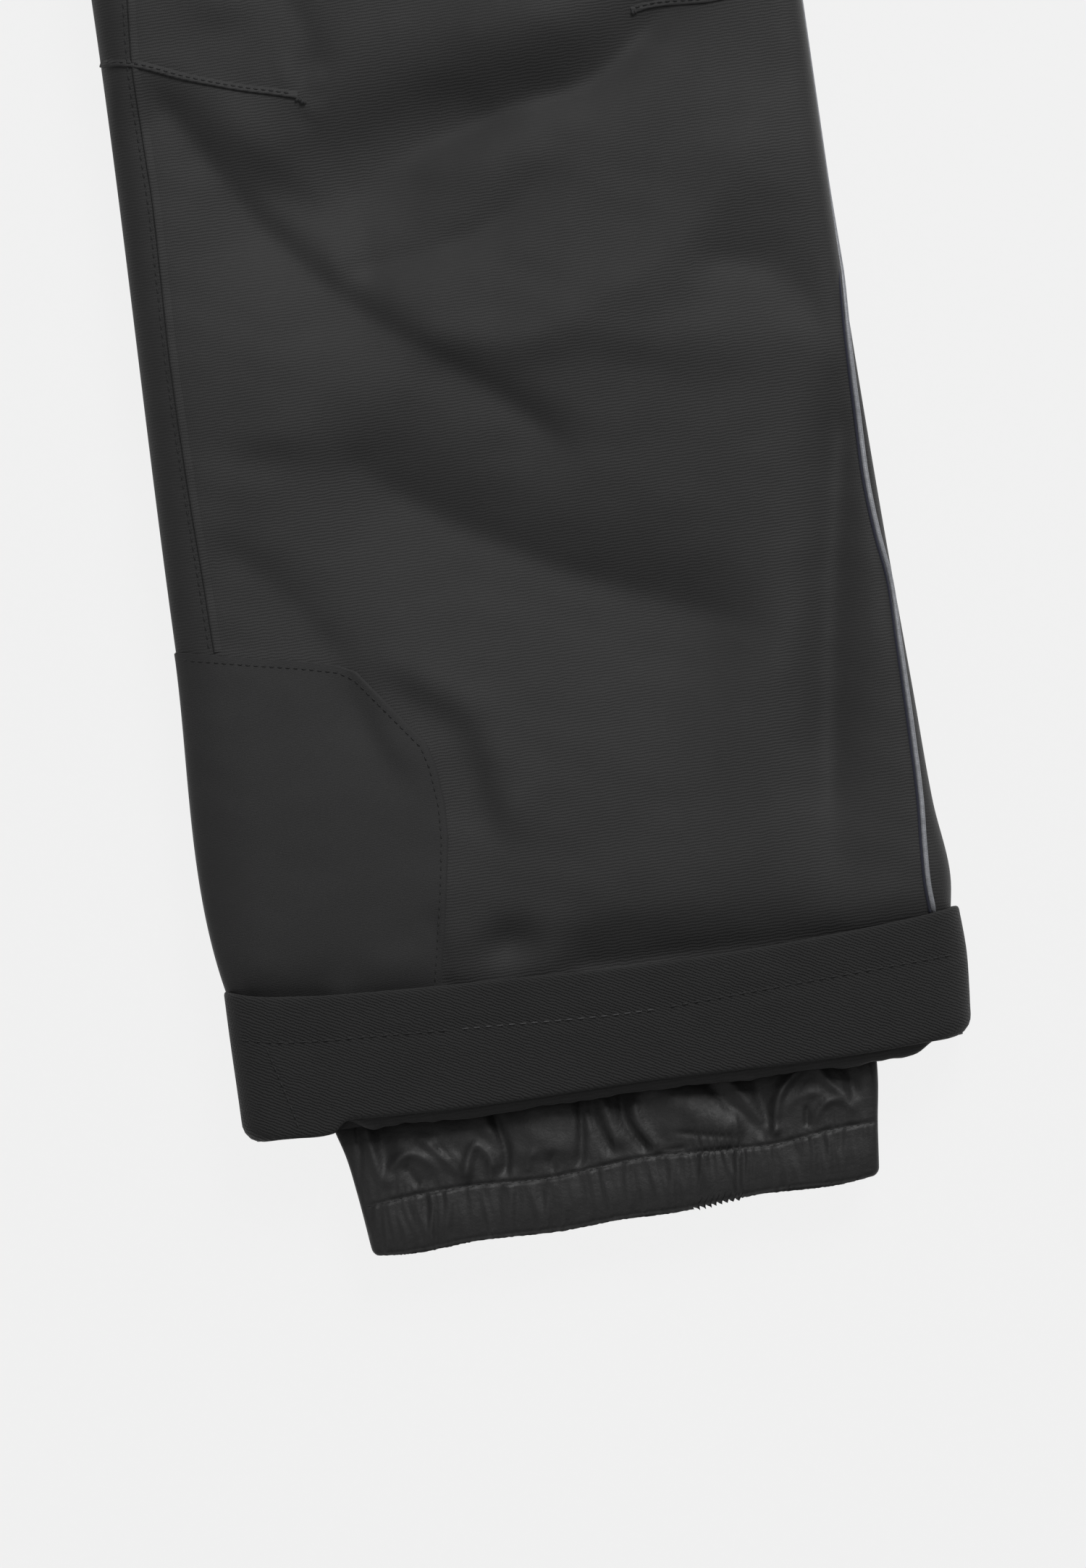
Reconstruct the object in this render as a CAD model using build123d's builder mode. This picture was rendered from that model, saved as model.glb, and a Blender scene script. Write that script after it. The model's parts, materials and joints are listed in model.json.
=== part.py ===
"""Child's padded ski trousers lying flat on their back, front face up.

Millimetres. +X is the wearer's left, +Y runs up to the waist, +Z rises off the floor.
The origin is on the floor under the middle of the whole garment.
Every fabric wall is a flattened tube: flat above and below, with a half-round roll at each side.
"""

import os
from dataclasses import dataclass
from math import atan2, cos, degrees, hypot, radians, sin

from build123d import *

os.makedirs("parts", exist_ok=True)

# ---------------------------------------------------------------- driving dimensions
CROTCH_Y = 188.2  # crotch point, where the inside legs meet
SPLAY = 8.7  # each leg's axis turns this far out from the centre line, in degrees
SHELL = 1.2  # woven outer shell
LINING = 3.0  # wadding quilted to its lining
LAYER_GAP = 0.2  # between shell and lining
CENTRE_GAP = 0.3  # half the gap along the centre front and centre back seams
BODY_GAP = 1.0  # fabric left free each side of a fold line

# legs
HIP_LINE_Y = CROTCH_Y - 22.0  # where the leg folds up over the seat
HIP_INNER_X, HIP_OUTER_X, HIP_HIGH = 7.0, 246.0, 30.0
THIGH_Y = CROTCH_Y - 110.0
THIGH_INNER_X, THIGH_OUTER_X, THIGH_HIGH = 42.0, 259.0, 26.0
KNEE_X, KNEE_Y = 177.5, CROTCH_Y - 261.0
KNEE_WIDTH, KNEE_HIGH = 212.5, 22.0
SHIN_LENGTH = 328.0  # knee line to the fold of the turned-up hem
ANKLE_WIDTH = 219.0

# turned-up hem
CUFF_HEIGHT = 42.0
CUFF_WALL = 2.6
CUFF_CLEAR = 0.7
CUFF_SIDE_CLEAR = 0.5
HEM_LIFT = CUFF_WALL + CUFF_CLEAR
HEM_HIGH = HEM_LIFT + 20.0
LINING_END = 62.0  # the lining stops this far above the fold
HEM_RAMP_END = 46.0  # the leg is lifted clear of the cuff from here down

# inner ankle scuff guard, measured from the fold and the inner edge
GUARD_TOP = 148.0
GUARD_WIDTH = 66.0
GUARD_SHOULDER = (40.0, 143.0)
GUARD_CORNER = (62.0, 119.0)

# reflective piping in the outside leg seam
PIPING_RADIUS = 0.8

# snow gaiter
GAITER_DROP = 38.0
GAITER_BAND = 17.7
GAITER_INSIDE = 95.0
GAITER_WALL = 1.0
GAITER_BOTTOM_WIDTH = 153.0
GAITER_FOLD_WIDTH = 165.0
GAITER_TOP_WIDTH = 185.0
BAND_LOW, BAND_HIGH = 7.3, 19.3
SLEEVE_LOW, SLEEVE_HIGH = 9.3, 17.3
SLEEVE_TOP_LOW, SLEEVE_TOP_HIGH = 7.5, 15.5
ELASTIC_FROM, ELASTIC_TO = 0.95, 2.05  # depth of the elastic inside the hem channel
CHANNEL_OUTER, CHANNEL_INNER, CHANNEL_DEPTH = 0.8, 2.2, 3.0

# seat
CROTCH_OUTER_X, CROTCH_HIGH = 242.0, 31.0
SEAT_Y = CROTCH_Y + 50.0
SEAT_OUTER_X, SEAT_HIGH = 233.0, 34.0
WAIST_OUTER_X = 178.0
FRONT_WAIST_Y, BACK_WAIST_Y = CROTCH_Y + 204.0, CROTCH_Y + 218.0

# waistband
BAND_HEIGHT_FRONT, BAND_HEIGHT_BACK = 37.0, 40.0
BAND_OUTER_X, BAND_BOTTOM, BAND_TOP = 180.0, 2.2, 36.5
BAND_WALL = 5.5
BACK_FACE, WAIST_ELASTIC_FROM, WAIST_ELASTIC_TO, FACING_FROM = 1.7, 1.9, 3.3, 3.5
WAIST_ELASTIC_HALF = 150.0
LABEL_WIDTH, LABEL_HEIGHT, LABEL_THICK = 36.0, 24.0, 0.4

# fly
FLY_HINGE_X = 34.0
FLY_EDGE_X = -14.0
FLY_BOTTOM_Y = CROTCH_Y + 84.0
FLY_CURVE = 26.0
FLY_FLAP_LOW, FLY_FLAP_HIGH = 36.0, 37.6
FLY_SLOT_HALF = 14.0
FLY_SLOT_Y = CROTCH_Y + 92.0
UNDERLAP_LOW, UNDERLAP_THICK = 27.6, 1.6
UNDERLAP_LEFT_X, UNDERLAP_RIGHT_X = 24.0, -20.0
TAB_EDGE_X, TAB_LOW, TAB_HIGH = -16.0, 33.2, 37.6
BAND_UNDERLAP_X, BAND_UNDERLAP_LOW, BAND_UNDERLAP_HIGH = 20.0, 29.5, 32.2
SNAP_X, SNAP_Y = 2.0, FRONT_WAIST_Y + 18.5

# zips: heights are above the tape's underside
TAPE_THICK, TAPE_INNER = 0.5, 1.0
TEETH_INNER, TEETH_OUTER, TEETH_HIGH = 0.7, 2.7, 1.7
SLIDER_LENGTH, SLIDER_HALF = 12.0, 4.3
FLY_TAPE_Z, FLY_TAPE_OUTER = 30.9, 13.0
FLY_ZIP_TOP, FLY_ZIP_BOTTOM = CROTCH_Y + 202.0, CROTCH_Y + 94.0
POCKET_TAPE_Z, POCKET_TAPE_OUTER, POCKET_SLOT_HALF = 31.6, 4.8, 5.0
BAG_LOW, BAG_THICK, BAG_WIDTH, BAG_CENTRE = 21.8, 5.2, 96.0, (-38.0, -12.0)
POCKET_TOP = (134.0, CROTCH_Y + 182.0)
POCKET_BOTTOM = (178.0, CROTCH_Y + 60.0)

# waist adjusters
TAB_HINGE_X, TAB_TIP_X, TAB_WIDTH = 152.0, 88.0, 19.0
TAB_Y = FRONT_WAIST_Y + 18.5
PATCH_NEAR_X, PATCH_FAR_X, PATCH_WIDTH = 72.0, 118.0, 21.0


@dataclass
class Station:
    """One cross-section of a flattened tube: its plane, side edges and lowest and highest fabric."""

    plane: Plane
    left: float
    right: float
    low: float
    high: float


# ---------------------------------------------------------------- planes and stations
def across(y):
    """A plane square to the centre line at y, drawn in X across and Z up."""
    return Plane(origin=(0, y, 0), x_dir=(1, 0, 0), z_dir=(0, -1, 0))


def leg_plane(distance):
    """A plane square to the left leg, at a distance above the fold of the turned-up hem."""
    along = SHIN_LENGTH - distance
    turn = radians(SPLAY)
    return Plane(
        origin=(KNEE_X + along * sin(turn), KNEE_Y - along * cos(turn), 0),
        x_dir=(cos(turn), sin(turn), 0),
        z_dir=(sin(turn), -cos(turn), 0),
    )


def leg_top_plane():
    """The floor in leg coordinates: X across the leg, Y up it from the fold, Z up."""
    fold = leg_plane(0)
    return Plane(origin=fold.origin, x_dir=fold.x_dir, z_dir=(0, 0, 1))


def leg_width(distance):
    """Width of the flat leg at a distance above the fold."""
    return ANKLE_WIDTH + (KNEE_WIDTH - ANKLE_WIDTH) * distance / SHIN_LENGTH


def leg_station(distance, width, low, high):
    return Station(leg_plane(distance), -width / 2, width / 2, low, high)


def thigh_stations():
    return [
        Station(across(HIP_LINE_Y - BODY_GAP), HIP_INNER_X, HIP_OUTER_X, 0, HIP_HIGH),
        Station(across(THIGH_Y), THIGH_INNER_X, THIGH_OUTER_X, 0, THIGH_HIGH),
        leg_station(SHIN_LENGTH + BODY_GAP, KNEE_WIDTH, 0, KNEE_HIGH),
    ]


def shin_stations():
    return [
        leg_station(SHIN_LENGTH - BODY_GAP, KNEE_WIDTH, 0, KNEE_HIGH),
        leg_station(LINING_END, leg_width(LINING_END), 0, KNEE_HIGH),
        leg_station(HEM_RAMP_END, leg_width(HEM_RAMP_END), HEM_LIFT, HEM_HIGH),
        leg_station(0, ANKLE_WIDTH, HEM_LIFT, HEM_HIGH),
    ]


def hip_stations(waist_y):
    """The left half of the seat, from the fold line below the crotch up to the waist seam."""
    return [
        Station(across(HIP_LINE_Y), HIP_INNER_X, HIP_OUTER_X, 0, HIP_HIGH),
        Station(across(CROTCH_Y), CENTRE_GAP, CROTCH_OUTER_X, 0, CROTCH_HIGH),
        Station(across(SEAT_Y), CENTRE_GAP, SEAT_OUTER_X, 0, SEAT_HIGH),
        Station(across(waist_y), CENTRE_GAP, WAIST_OUTER_X, 0, SEAT_HIGH),
    ]


def seat_stations(waist_y):
    """The whole width of the seat, from the crotch up to the waist seam."""
    return [
        Station(across(CROTCH_Y), -CROTCH_OUTER_X, CROTCH_OUTER_X, 0, CROTCH_HIGH),
        Station(across(SEAT_Y), -SEAT_OUTER_X, SEAT_OUTER_X, 0, SEAT_HIGH),
        Station(across(waist_y), -WAIST_OUTER_X, WAIST_OUTER_X, 0, SEAT_HIGH),
    ]


# ---------------------------------------------------------------- fabric walls
def wall(station, outside, inside, face, left_end, seam=0.0):
    """One layer of a flattened tube's front or back, between two depths below its surface.

    The right end is a quarter roll down to mid-height. The left end is "flat", cut square at the
    seam, "side", a quarter roll like the right one, or "wrap", a half roll up to the seam on top.
    """
    radius = (station.high - station.low) / 2
    middle = station.low + radius
    outer, inner = radius - outside, radius - inside
    turn = 1 if face == "front" else -1
    right_x, left_x = station.right - radius, station.left + radius
    with BuildSketch(station.plane) as sketch:
        with BuildLine():
            CenterArc((right_x, middle), outer, 0, 90 * turn)
            Line((right_x + outer, middle), (right_x + inner, middle))
            CenterArc((right_x, middle), inner, 0, 90 * turn)
            near_x = seam if left_end == "flat" else left_x
            Line((right_x, middle + turn * outer), (near_x, middle + turn * outer))
            Line((right_x, middle + turn * inner), (near_x, middle + turn * inner))
            if left_end == "flat":
                Line((seam, middle + turn * outer), (seam, middle + turn * inner))
            elif left_end == "side":
                CenterArc((left_x, middle), outer, 180, -90 * turn)
                CenterArc((left_x, middle), inner, 180, -90 * turn)
                Line((left_x - outer, middle), (left_x - inner, middle))
            else:
                CenterArc((left_x, middle), outer, 90, 180)
                CenterArc((left_x, middle), inner, 90, 180)
                Line((left_x, middle + outer), (seam, middle + outer))
                Line((left_x, middle + inner), (seam, middle + inner))
                Line((seam, middle + outer), (seam, middle + inner))
        make_face()
    return sketch.sketch


def seam_x(station):
    """The inside leg seam lies on the front, just past the roll of the inner edge."""
    return station.left + (station.high - station.low) / 2 + 1.0


def leg_layer(stations, face):
    """A leg's outer shell. The back panel wraps round the inner edge to the seam on the front."""
    end = "flat" if face == "front" else "wrap"
    with BuildPart() as panel:
        loft([wall(s, 0, SHELL, face, end, seam_x(s)) for s in stations], ruled=True)
    return panel.part


def leg_lining(stations):
    """Front and back of a leg's quilted lining, sewn together at mid-height."""
    outside, inside = SHELL + LAYER_GAP, SHELL + LAYER_GAP + LINING
    with BuildPart() as lining:
        for face in ("front", "back"):
            loft([wall(s, outside, inside, face, "side") for s in stations], ruled=True)
    return lining.part


def hip_layer(face):
    """The left half of the seat's outer shell, open along the centre seam."""
    waist_y = FRONT_WAIST_Y if face == "front" else BACK_WAIST_Y
    stations = hip_stations(waist_y)
    with BuildPart() as panel:
        loft([wall(s, 0, SHELL, face, "flat", s.left) for s in stations], ruled=True)
    return panel.part


def seat_lining(face):
    """The seat's quilted lining, in one piece across the centre."""
    waist_y = FRONT_WAIST_Y if face == "front" else BACK_WAIST_Y
    outside, inside = SHELL + LAYER_GAP, SHELL + LAYER_GAP + LINING
    stations = seat_stations(waist_y)
    with BuildPart() as panel:
        loft([wall(s, outside, inside, face, "side") for s in stations], ruled=True)
    return panel.part


# ---------------------------------------------------------------- small helpers
def block(x, y, z):
    """A box between two limits on each axis, given as pairs."""
    with BuildPart() as box:
        centre = ((x[0] + x[1]) / 2, (y[0] + y[1]) / 2, (z[0] + z[1]) / 2)
        with Locations(centre):
            Box(abs(x[1] - x[0]), abs(y[1] - y[0]), abs(z[1] - z[0]))
    return box.part


def save(part, name, side="left"):
    """Writes one sub-part, mirrored across the centre line for the wearer's right."""
    with BuildPart() as piece:
        if side == "right":
            mirror(part, about=Plane.YZ)
        else:
            add(part)
    piece.part.label = name
    export_step(piece.part, f"parts/{name}.step")


def save_pair(part, name):
    """Writes a sub-part for the wearer's left and right."""
    for side in ("left", "right"):
        save(part, f"{side}_{name}", side)


# ---------------------------------------------------------------- zips
def zip_tapes(length, outer):
    """Two woven tapes either side of the zip line, which runs along Y from its lower end."""
    with BuildPart() as tapes:
        for side in (1, -1):
            add(block((side * TAPE_INNER, side * outer), (0, length), (0, TAPE_THICK)))
    return tapes.part


def zip_teeth(length, end_margin):
    """Two rows of coil on the tapes, with a stop across the bottom and one on each row's top."""
    low, high = end_margin, length - end_margin
    with BuildPart() as teeth:
        for side in (1, -1):
            row_x = (side * TEETH_INNER, side * TEETH_OUTER)
            add(block(row_x, (low, high), (TAPE_THICK, TEETH_HIGH)))
        stop_x = (-TEETH_OUTER - 0.4, TEETH_OUTER + 0.4)
        add(block(stop_x, (low - 2.0, low), (TAPE_THICK, TEETH_HIGH + 0.2)))
    return teeth.part


PLATE_LOW, PLATE_HIGH = -1.3, -0.5  # bottom plate of a slider, under the tape
CAP_LOW, CAP_HIGH = 2.1, 2.9  # top plate
CROWN_FOOT, CROWN_HIGH = 4.1, 4.7
CROWN_HALF_SPAN, CROWN_LEG, CROWN_HALF_WIDTH = 4.0, 1.0, 0.9
PULL_LOW, PULL_HIGH = 3.2, 3.8
EYE_BAR, EYE_END, EYE_HALF = 0.45, 4.6, 1.3
PULL_HALF, PULL_LENGTH = 3.1, 22.0


def zip_slider():
    """A slider centred on the origin: two plates, side flanges, the wedge post and the crown."""
    half = SLIDER_LENGTH / 2
    with BuildPart() as slider:
        for low, high in ((PLATE_LOW, PLATE_HIGH), (CAP_LOW, CAP_HIGH)):
            with BuildSketch(Plane.XY.offset(low)):
                with BuildLine():
                    waist = SLIDER_HALF - 1.2
                    Polyline(
                        (-waist, -half),
                        (waist, -half),
                        (SLIDER_HALF, half - 4),
                        (SLIDER_HALF - 1, half),
                        (-SLIDER_HALF + 1, half),
                        (-SLIDER_HALF, half - 4),
                        close=True,
                    )
                make_face()
            extrude(amount=high - low)
        add(block((-0.4, 0.4), (half - 4.5, half - 0.5), (PLATE_HIGH, CAP_LOW)))
        for side in (1, -1):
            flange_x = (side * 3.1, side * 3.9)
            add(block(flange_x, (half - 7, half - 3), (TAPE_THICK + 0.3, CAP_LOW)))
        for end in (1, -1):
            leg_y = (end * CROWN_HALF_SPAN, end * (CROWN_HALF_SPAN - CROWN_LEG))
            crown_x = (-CROWN_HALF_WIDTH, CROWN_HALF_WIDTH)
            add(block(crown_x, leg_y, (CAP_HIGH, CROWN_HIGH)))
        bar_y = (-CROWN_HALF_SPAN, CROWN_HALF_SPAN)
        add(block((-CROWN_HALF_WIDTH, CROWN_HALF_WIDTH), bar_y, (CROWN_FOOT, CROWN_HIGH)))
    return slider.part


def zip_pull():
    """A pull tab lying along the zip below the slider, with its eye bar held in the crown."""
    with BuildPart() as pull:
        with BuildSketch(Plane.XY.offset(PULL_LOW)):
            with BuildLine():
                Polyline(
                    (-2.2, EYE_BAR),
                    (2.2, EYE_BAR),
                    (2.2, -EYE_END - 1),
                    (PULL_HALF, -PULL_LENGTH + 5),
                    (PULL_HALF, -PULL_LENGTH + 1.5),
                    (PULL_HALF - 1.5, -PULL_LENGTH),
                    (-PULL_HALF + 1.5, -PULL_LENGTH),
                    (-PULL_HALF, -PULL_LENGTH + 1.5),
                    (-PULL_HALF, -PULL_LENGTH + 5),
                    (-2.2, -EYE_END - 1),
                    close=True,
                )
            make_face()
            eye_centre = (0, -(EYE_BAR + EYE_END) / 2)
            with Locations(eye_centre):
                Rectangle(2 * EYE_HALF, EYE_END - EYE_BAR, mode=Mode.SUBTRACT)
        extrude(amount=PULL_HIGH - PULL_LOW)
    return pull.part


def pocket_plane(distance, height):
    """On the left pocket's zip line: X across it, Y up it from its lower end, Z off the floor."""
    run_x, run_y = POCKET_TOP[0] - POCKET_BOTTOM[0], POCKET_TOP[1] - POCKET_BOTTOM[1]
    length = hypot(run_x, run_y)
    unit_x, unit_y = run_x / length, run_y / length
    start = (POCKET_BOTTOM[0] + unit_x * distance, POCKET_BOTTOM[1] + unit_y * distance)
    return Plane(origin=(*start, height), x_dir=(unit_y, -unit_x, 0), z_dir=(0, 0, 1))


POCKET_LENGTH = hypot(POCKET_TOP[0] - POCKET_BOTTOM[0], POCKET_TOP[1] - POCKET_BOTTOM[1])
SLIDER_REST = SLIDER_LENGTH / 2 + 4.0  # a closed zip's slider sits this far below its top


# ---------------------------------------------------------------- seat panels
def front_hip_shell():
    """The left front of the seat, cut away for the fly and slotted for the hand pocket."""
    with BuildPart() as shell:
        add(hip_layer("front"))
        add(
            block((0, FLY_SLOT_HALF), (FLY_SLOT_Y, FRONT_WAIST_Y + 1), (20, 40)),
            mode=Mode.SUBTRACT,
        )
        with BuildSketch(pocket_plane(POCKET_LENGTH / 2, 25)):
            Rectangle(2 * POCKET_SLOT_HALF, POCKET_LENGTH + 4)
        extrude(amount=15, mode=Mode.SUBTRACT)
    return shell.part


def front_seat_lining():
    """The seat's front lining, slit for the fly and for both pockets."""
    with BuildPart() as lining:
        add(seat_lining("front"))
        slit_half = FLY_SLOT_HALF + 2
        slit_y = (FLY_SLOT_Y - 2, FRONT_WAIST_Y + 1)
        add(block((-slit_half, slit_half), slit_y, (20, 40)), mode=Mode.SUBTRACT)
        with BuildPart(mode=Mode.PRIVATE) as slot:
            with BuildSketch(pocket_plane(POCKET_LENGTH / 2, 20)):
                Rectangle(2 * POCKET_SLOT_HALF + 2, POCKET_LENGTH + 6)
            extrude(amount=20)
        add(slot.part, mode=Mode.SUBTRACT)
        mirror(slot.part, about=Plane.YZ, mode=Mode.SUBTRACT)
    return lining.part


def pocket_bag():
    """A flat, empty pouch under the zip, hanging down and in from it."""
    with BuildPart() as bag:
        with BuildSketch(pocket_plane(POCKET_LENGTH / 2, BAG_LOW)):
            with Locations(BAG_CENTRE):
                RectangleRounded(BAG_WIDTH, POCKET_LENGTH + 26.0, 22.0)
        extrude(amount=BAG_THICK)
    return bag.part


def build_seat():
    save_pair(front_hip_shell(), "front_hip")
    save_pair(hip_layer("back"), "back_hip")
    save(front_seat_lining(), "front_seat_lining")
    save(seat_lining("back"), "back_seat_lining")
    save_pair(pocket_bag(), "pocket_bag")


# ---------------------------------------------------------------- waistband
def band_station(y):
    return Station(across(y), -BAND_OUTER_X, BAND_OUTER_X, BAND_BOTTOM, BAND_TOP)


def band_part(y, height, outside, inside, face, left_end, seam=0.0):
    """A length of waistband: one wall profile carried straight up from y."""
    profile = wall(band_station(y), outside, inside, face, left_end, seam)
    with BuildPart() as band:
        extrude(profile, amount=height, dir=(0, 1, 0))
    return band.part


def front_band_left():
    """From the fly's fold round to the left side seam."""
    edge = FLY_HINGE_X + CENTRE_GAP
    return band_part(FRONT_WAIST_Y, BAND_HEIGHT_FRONT, 0, BAND_WALL, "front", "flat", edge)


def front_band_right():
    """From the right side seam to the centre, then a thin underlap below the fly's tab."""
    edge = -TAB_EDGE_X + 2 * CENTRE_GAP
    underlap_y = (FRONT_WAIST_Y, FRONT_WAIST_Y + BAND_HEIGHT_FRONT)
    band = band_part(FRONT_WAIST_Y, BAND_HEIGHT_FRONT, 0, BAND_WALL, "front", "flat", edge)
    with BuildPart() as whole:
        mirror(band, about=Plane.YZ)
        underlap_x = (-edge - 3.0, BAND_UNDERLAP_X)
        add(block(underlap_x, underlap_y, (BAND_UNDERLAP_LOW, BAND_UNDERLAP_HIGH)))
        with Locations((SNAP_X, SNAP_Y, (BAND_UNDERLAP_LOW + BAND_UNDERLAP_HIGH) / 2)):
            Cylinder(SNAP_SHANK + 0.1, 10, mode=Mode.SUBTRACT)
    return whole.part


def waist_elastic():
    """The wide elastic in the back of the waistband."""
    low = BAND_BOTTOM + WAIST_ELASTIC_FROM
    high = BAND_BOTTOM + WAIST_ELASTIC_TO
    y = (BACK_WAIST_Y + 4.0, BACK_WAIST_Y + BAND_HEIGHT_BACK - 4.0)
    return block((-WAIST_ELASTIC_HALF, WAIST_ELASTIC_HALF), y, (low, high))


def waist_label():
    """A blank label sewn inside the back of the waistband."""
    low = BAND_BOTTOM + BAND_WALL
    middle = BACK_WAIST_Y + BAND_HEIGHT_BACK / 2
    y = (middle - LABEL_HEIGHT / 2, middle + LABEL_HEIGHT / 2)
    return block((-LABEL_WIDTH / 2, LABEL_WIDTH / 2), y, (low, low + LABEL_THICK))


LOOP_WIDTH, LOOP_STRAP, LOOP_GAP, LOOP_FOOT = 9.0, 1.2, 0.5, 3.0


def belt_loop(x, y, surface, up):
    """One loop across the waistband: a strap held off the surface by a sewn foot at each end."""
    ends = (y + 1.0, y + BAND_HEIGHT_FRONT - 1.0)
    strap_z = (surface + up * LOOP_GAP, surface + up * (LOOP_GAP + LOOP_STRAP))
    across_x = (x - LOOP_WIDTH / 2, x + LOOP_WIDTH / 2)
    with BuildPart() as loop:
        add(block(across_x, ends, strap_z))
        for foot_y in ((ends[0], ends[0] + LOOP_FOOT), (ends[1] - LOOP_FOOT, ends[1])):
            add(block(across_x, foot_y, (surface, strap_z[1])))
    return loop.part


def belt_loops():
    """Two loops on the front of the band and three on the back."""
    with BuildPart() as loops:
        for x in (-60.0, 60.0):
            add(belt_loop(x, FRONT_WAIST_Y, BAND_TOP, 1))
        for x in (-96.0, 0.0, 96.0):
            add(belt_loop(x, BACK_WAIST_Y + 1.5, BAND_BOTTOM, -1))
    return loops.part


def build_waistband():
    back = (BACK_WAIST_Y, BAND_HEIGHT_BACK)
    save(front_band_left(), "waistband_front_left")
    save(front_band_right(), "waistband_front_right")
    save(band_part(*back, 0, BACK_FACE, "back", "side"), "waistband_back")
    save(band_part(*back, FACING_FROM, BAND_WALL, "back", "side"), "waistband_facing")
    save(waist_elastic(), "waist_elastic")
    save(waist_label(), "waist_label")
    save(belt_loops(), "belt_loops")


# ---------------------------------------------------------------- fly
SNAP_SHANK, SNAP_HEAD, SNAP_SOCKET_BORE, SNAP_SOCKET = 1.6, 2.3, 2.6, 6.0
SNAP_CAP, SNAP_RISE = 7.5, 0.9  # cap radius, and how far it domes


def fly_flap():
    """The fly's covering flap, rounded where its stitching curves in to the centre seam."""
    with BuildPart() as flap:
        with BuildSketch(Plane.XY.offset(FLY_FLAP_LOW)):
            with BuildLine():
                right_x = FLY_HINGE_X - CENTRE_GAP
                corner_y = FLY_BOTTOM_Y + FLY_CURVE
                Polyline(
                    (right_x, corner_y),
                    (right_x, FRONT_WAIST_Y - CENTRE_GAP),
                    (FLY_EDGE_X, FRONT_WAIST_Y - CENTRE_GAP),
                    (FLY_EDGE_X, FLY_BOTTOM_Y),
                    (right_x - FLY_CURVE, FLY_BOTTOM_Y),
                )
                CenterArc((right_x - FLY_CURVE, corner_y), FLY_CURVE, 270, 90)
            make_face()
        extrude(amount=FLY_FLAP_HIGH - FLY_FLAP_LOW)
    return flap.part


def waist_tab():
    """The waistband's overlapping end, with a hole for the snap's socket."""
    x = (TAB_EDGE_X, FLY_HINGE_X - CENTRE_GAP)
    y = (FRONT_WAIST_Y, FRONT_WAIST_Y + BAND_HEIGHT_FRONT)
    with BuildPart() as tab:
        add(block(x, y, (TAB_LOW, TAB_HIGH)))
        fillet(tab.edges().filter_by(Axis.Z).group_by(Axis.X)[0], 3.0)
        with Locations((SNAP_X, SNAP_Y, TAB_LOW)):
            Cylinder(SNAP_SOCKET + 0.2, 20, mode=Mode.SUBTRACT)
    return tab.part


def snap_cap():
    """The snap's domed cap and the socket ring riveted under it."""
    with BuildPart() as cap:
        with BuildSketch(Plane.XZ.offset(-SNAP_Y)):
            with BuildLine():
                Line((SNAP_X, TAB_HIGH + 0.7 + SNAP_RISE), (SNAP_X, TAB_HIGH - 1.4))
                Polyline(
                    (SNAP_X, TAB_HIGH - 1.4),
                    (SNAP_X + SNAP_SOCKET_BORE, TAB_HIGH - 1.4),
                    (SNAP_X + SNAP_SOCKET_BORE, TAB_LOW + 0.2),
                    (SNAP_X + SNAP_SOCKET, TAB_LOW + 0.2),
                    (SNAP_X + SNAP_SOCKET, TAB_HIGH + 0.1),
                    (SNAP_X + SNAP_CAP, TAB_HIGH + 0.1),
                    (SNAP_X + SNAP_CAP, TAB_HIGH + 0.7),
                )
                dome = (SNAP_CAP**2 + SNAP_RISE**2) / (2 * SNAP_RISE)
                centre = (SNAP_X, TAB_HIGH + 0.7 + SNAP_RISE - dome)
                tilt = degrees(atan2(TAB_HIGH + 0.7 - centre[1], SNAP_CAP))
                CenterArc(centre, dome, tilt, 90 - tilt)
            make_face()
        revolve(axis=Axis((SNAP_X, SNAP_Y, 0), (0, 0, 1)))
    return cap.part


def snap_stud():
    """The stud through the underlap: back flange, shank, front flange and head."""
    steps = (
        (5.0, BAND_UNDERLAP_LOW - 0.8, BAND_UNDERLAP_LOW),
        (SNAP_SHANK, BAND_UNDERLAP_LOW, BAND_UNDERLAP_HIGH),
        (4.5, BAND_UNDERLAP_HIGH, BAND_UNDERLAP_HIGH + 0.7),
        (SNAP_HEAD, BAND_UNDERLAP_HIGH + 0.7, TAB_HIGH - 2.2),
    )
    with BuildPart() as stud:
        for radius, low, high in steps:
            with BuildSketch(Plane.XY.offset(low)):
                with Locations((SNAP_X, SNAP_Y)):
                    Circle(radius)
            extrude(amount=high - low)
    return stud.part


def fly_underlap():
    """The guard behind the fly's zip."""
    x = (UNDERLAP_RIGHT_X, UNDERLAP_LEFT_X)
    z = (UNDERLAP_LOW, UNDERLAP_LOW + UNDERLAP_THICK)
    with BuildPart() as guard:
        add(block(x, (FLY_SLOT_Y - 4, FRONT_WAIST_Y), z))
        fillet(guard.edges().filter_by(Axis.Z).group_by(Axis.Y)[0], 10.0)
    return guard.part


def build_fly():
    length = FLY_ZIP_TOP - FLY_ZIP_BOTTOM
    zip_line = Location((0, FLY_ZIP_BOTTOM, FLY_TAPE_Z))
    slider_place = Location((0, FLY_ZIP_TOP - SLIDER_REST, FLY_TAPE_Z))
    save(fly_flap(), "fly_flap")
    save(waist_tab(), "waist_tab")
    save(snap_cap(), "snap_cap")
    save(snap_stud(), "snap_stud")
    save(fly_underlap(), "fly_underlap")
    save(zip_tapes(length, FLY_TAPE_OUTER).moved(zip_line), "fly_tapes")
    save(zip_teeth(length, 2.5).moved(zip_line), "fly_teeth")
    save(zip_slider().moved(slider_place), "fly_slider")
    save(zip_pull().moved(slider_place), "fly_pull")


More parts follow.
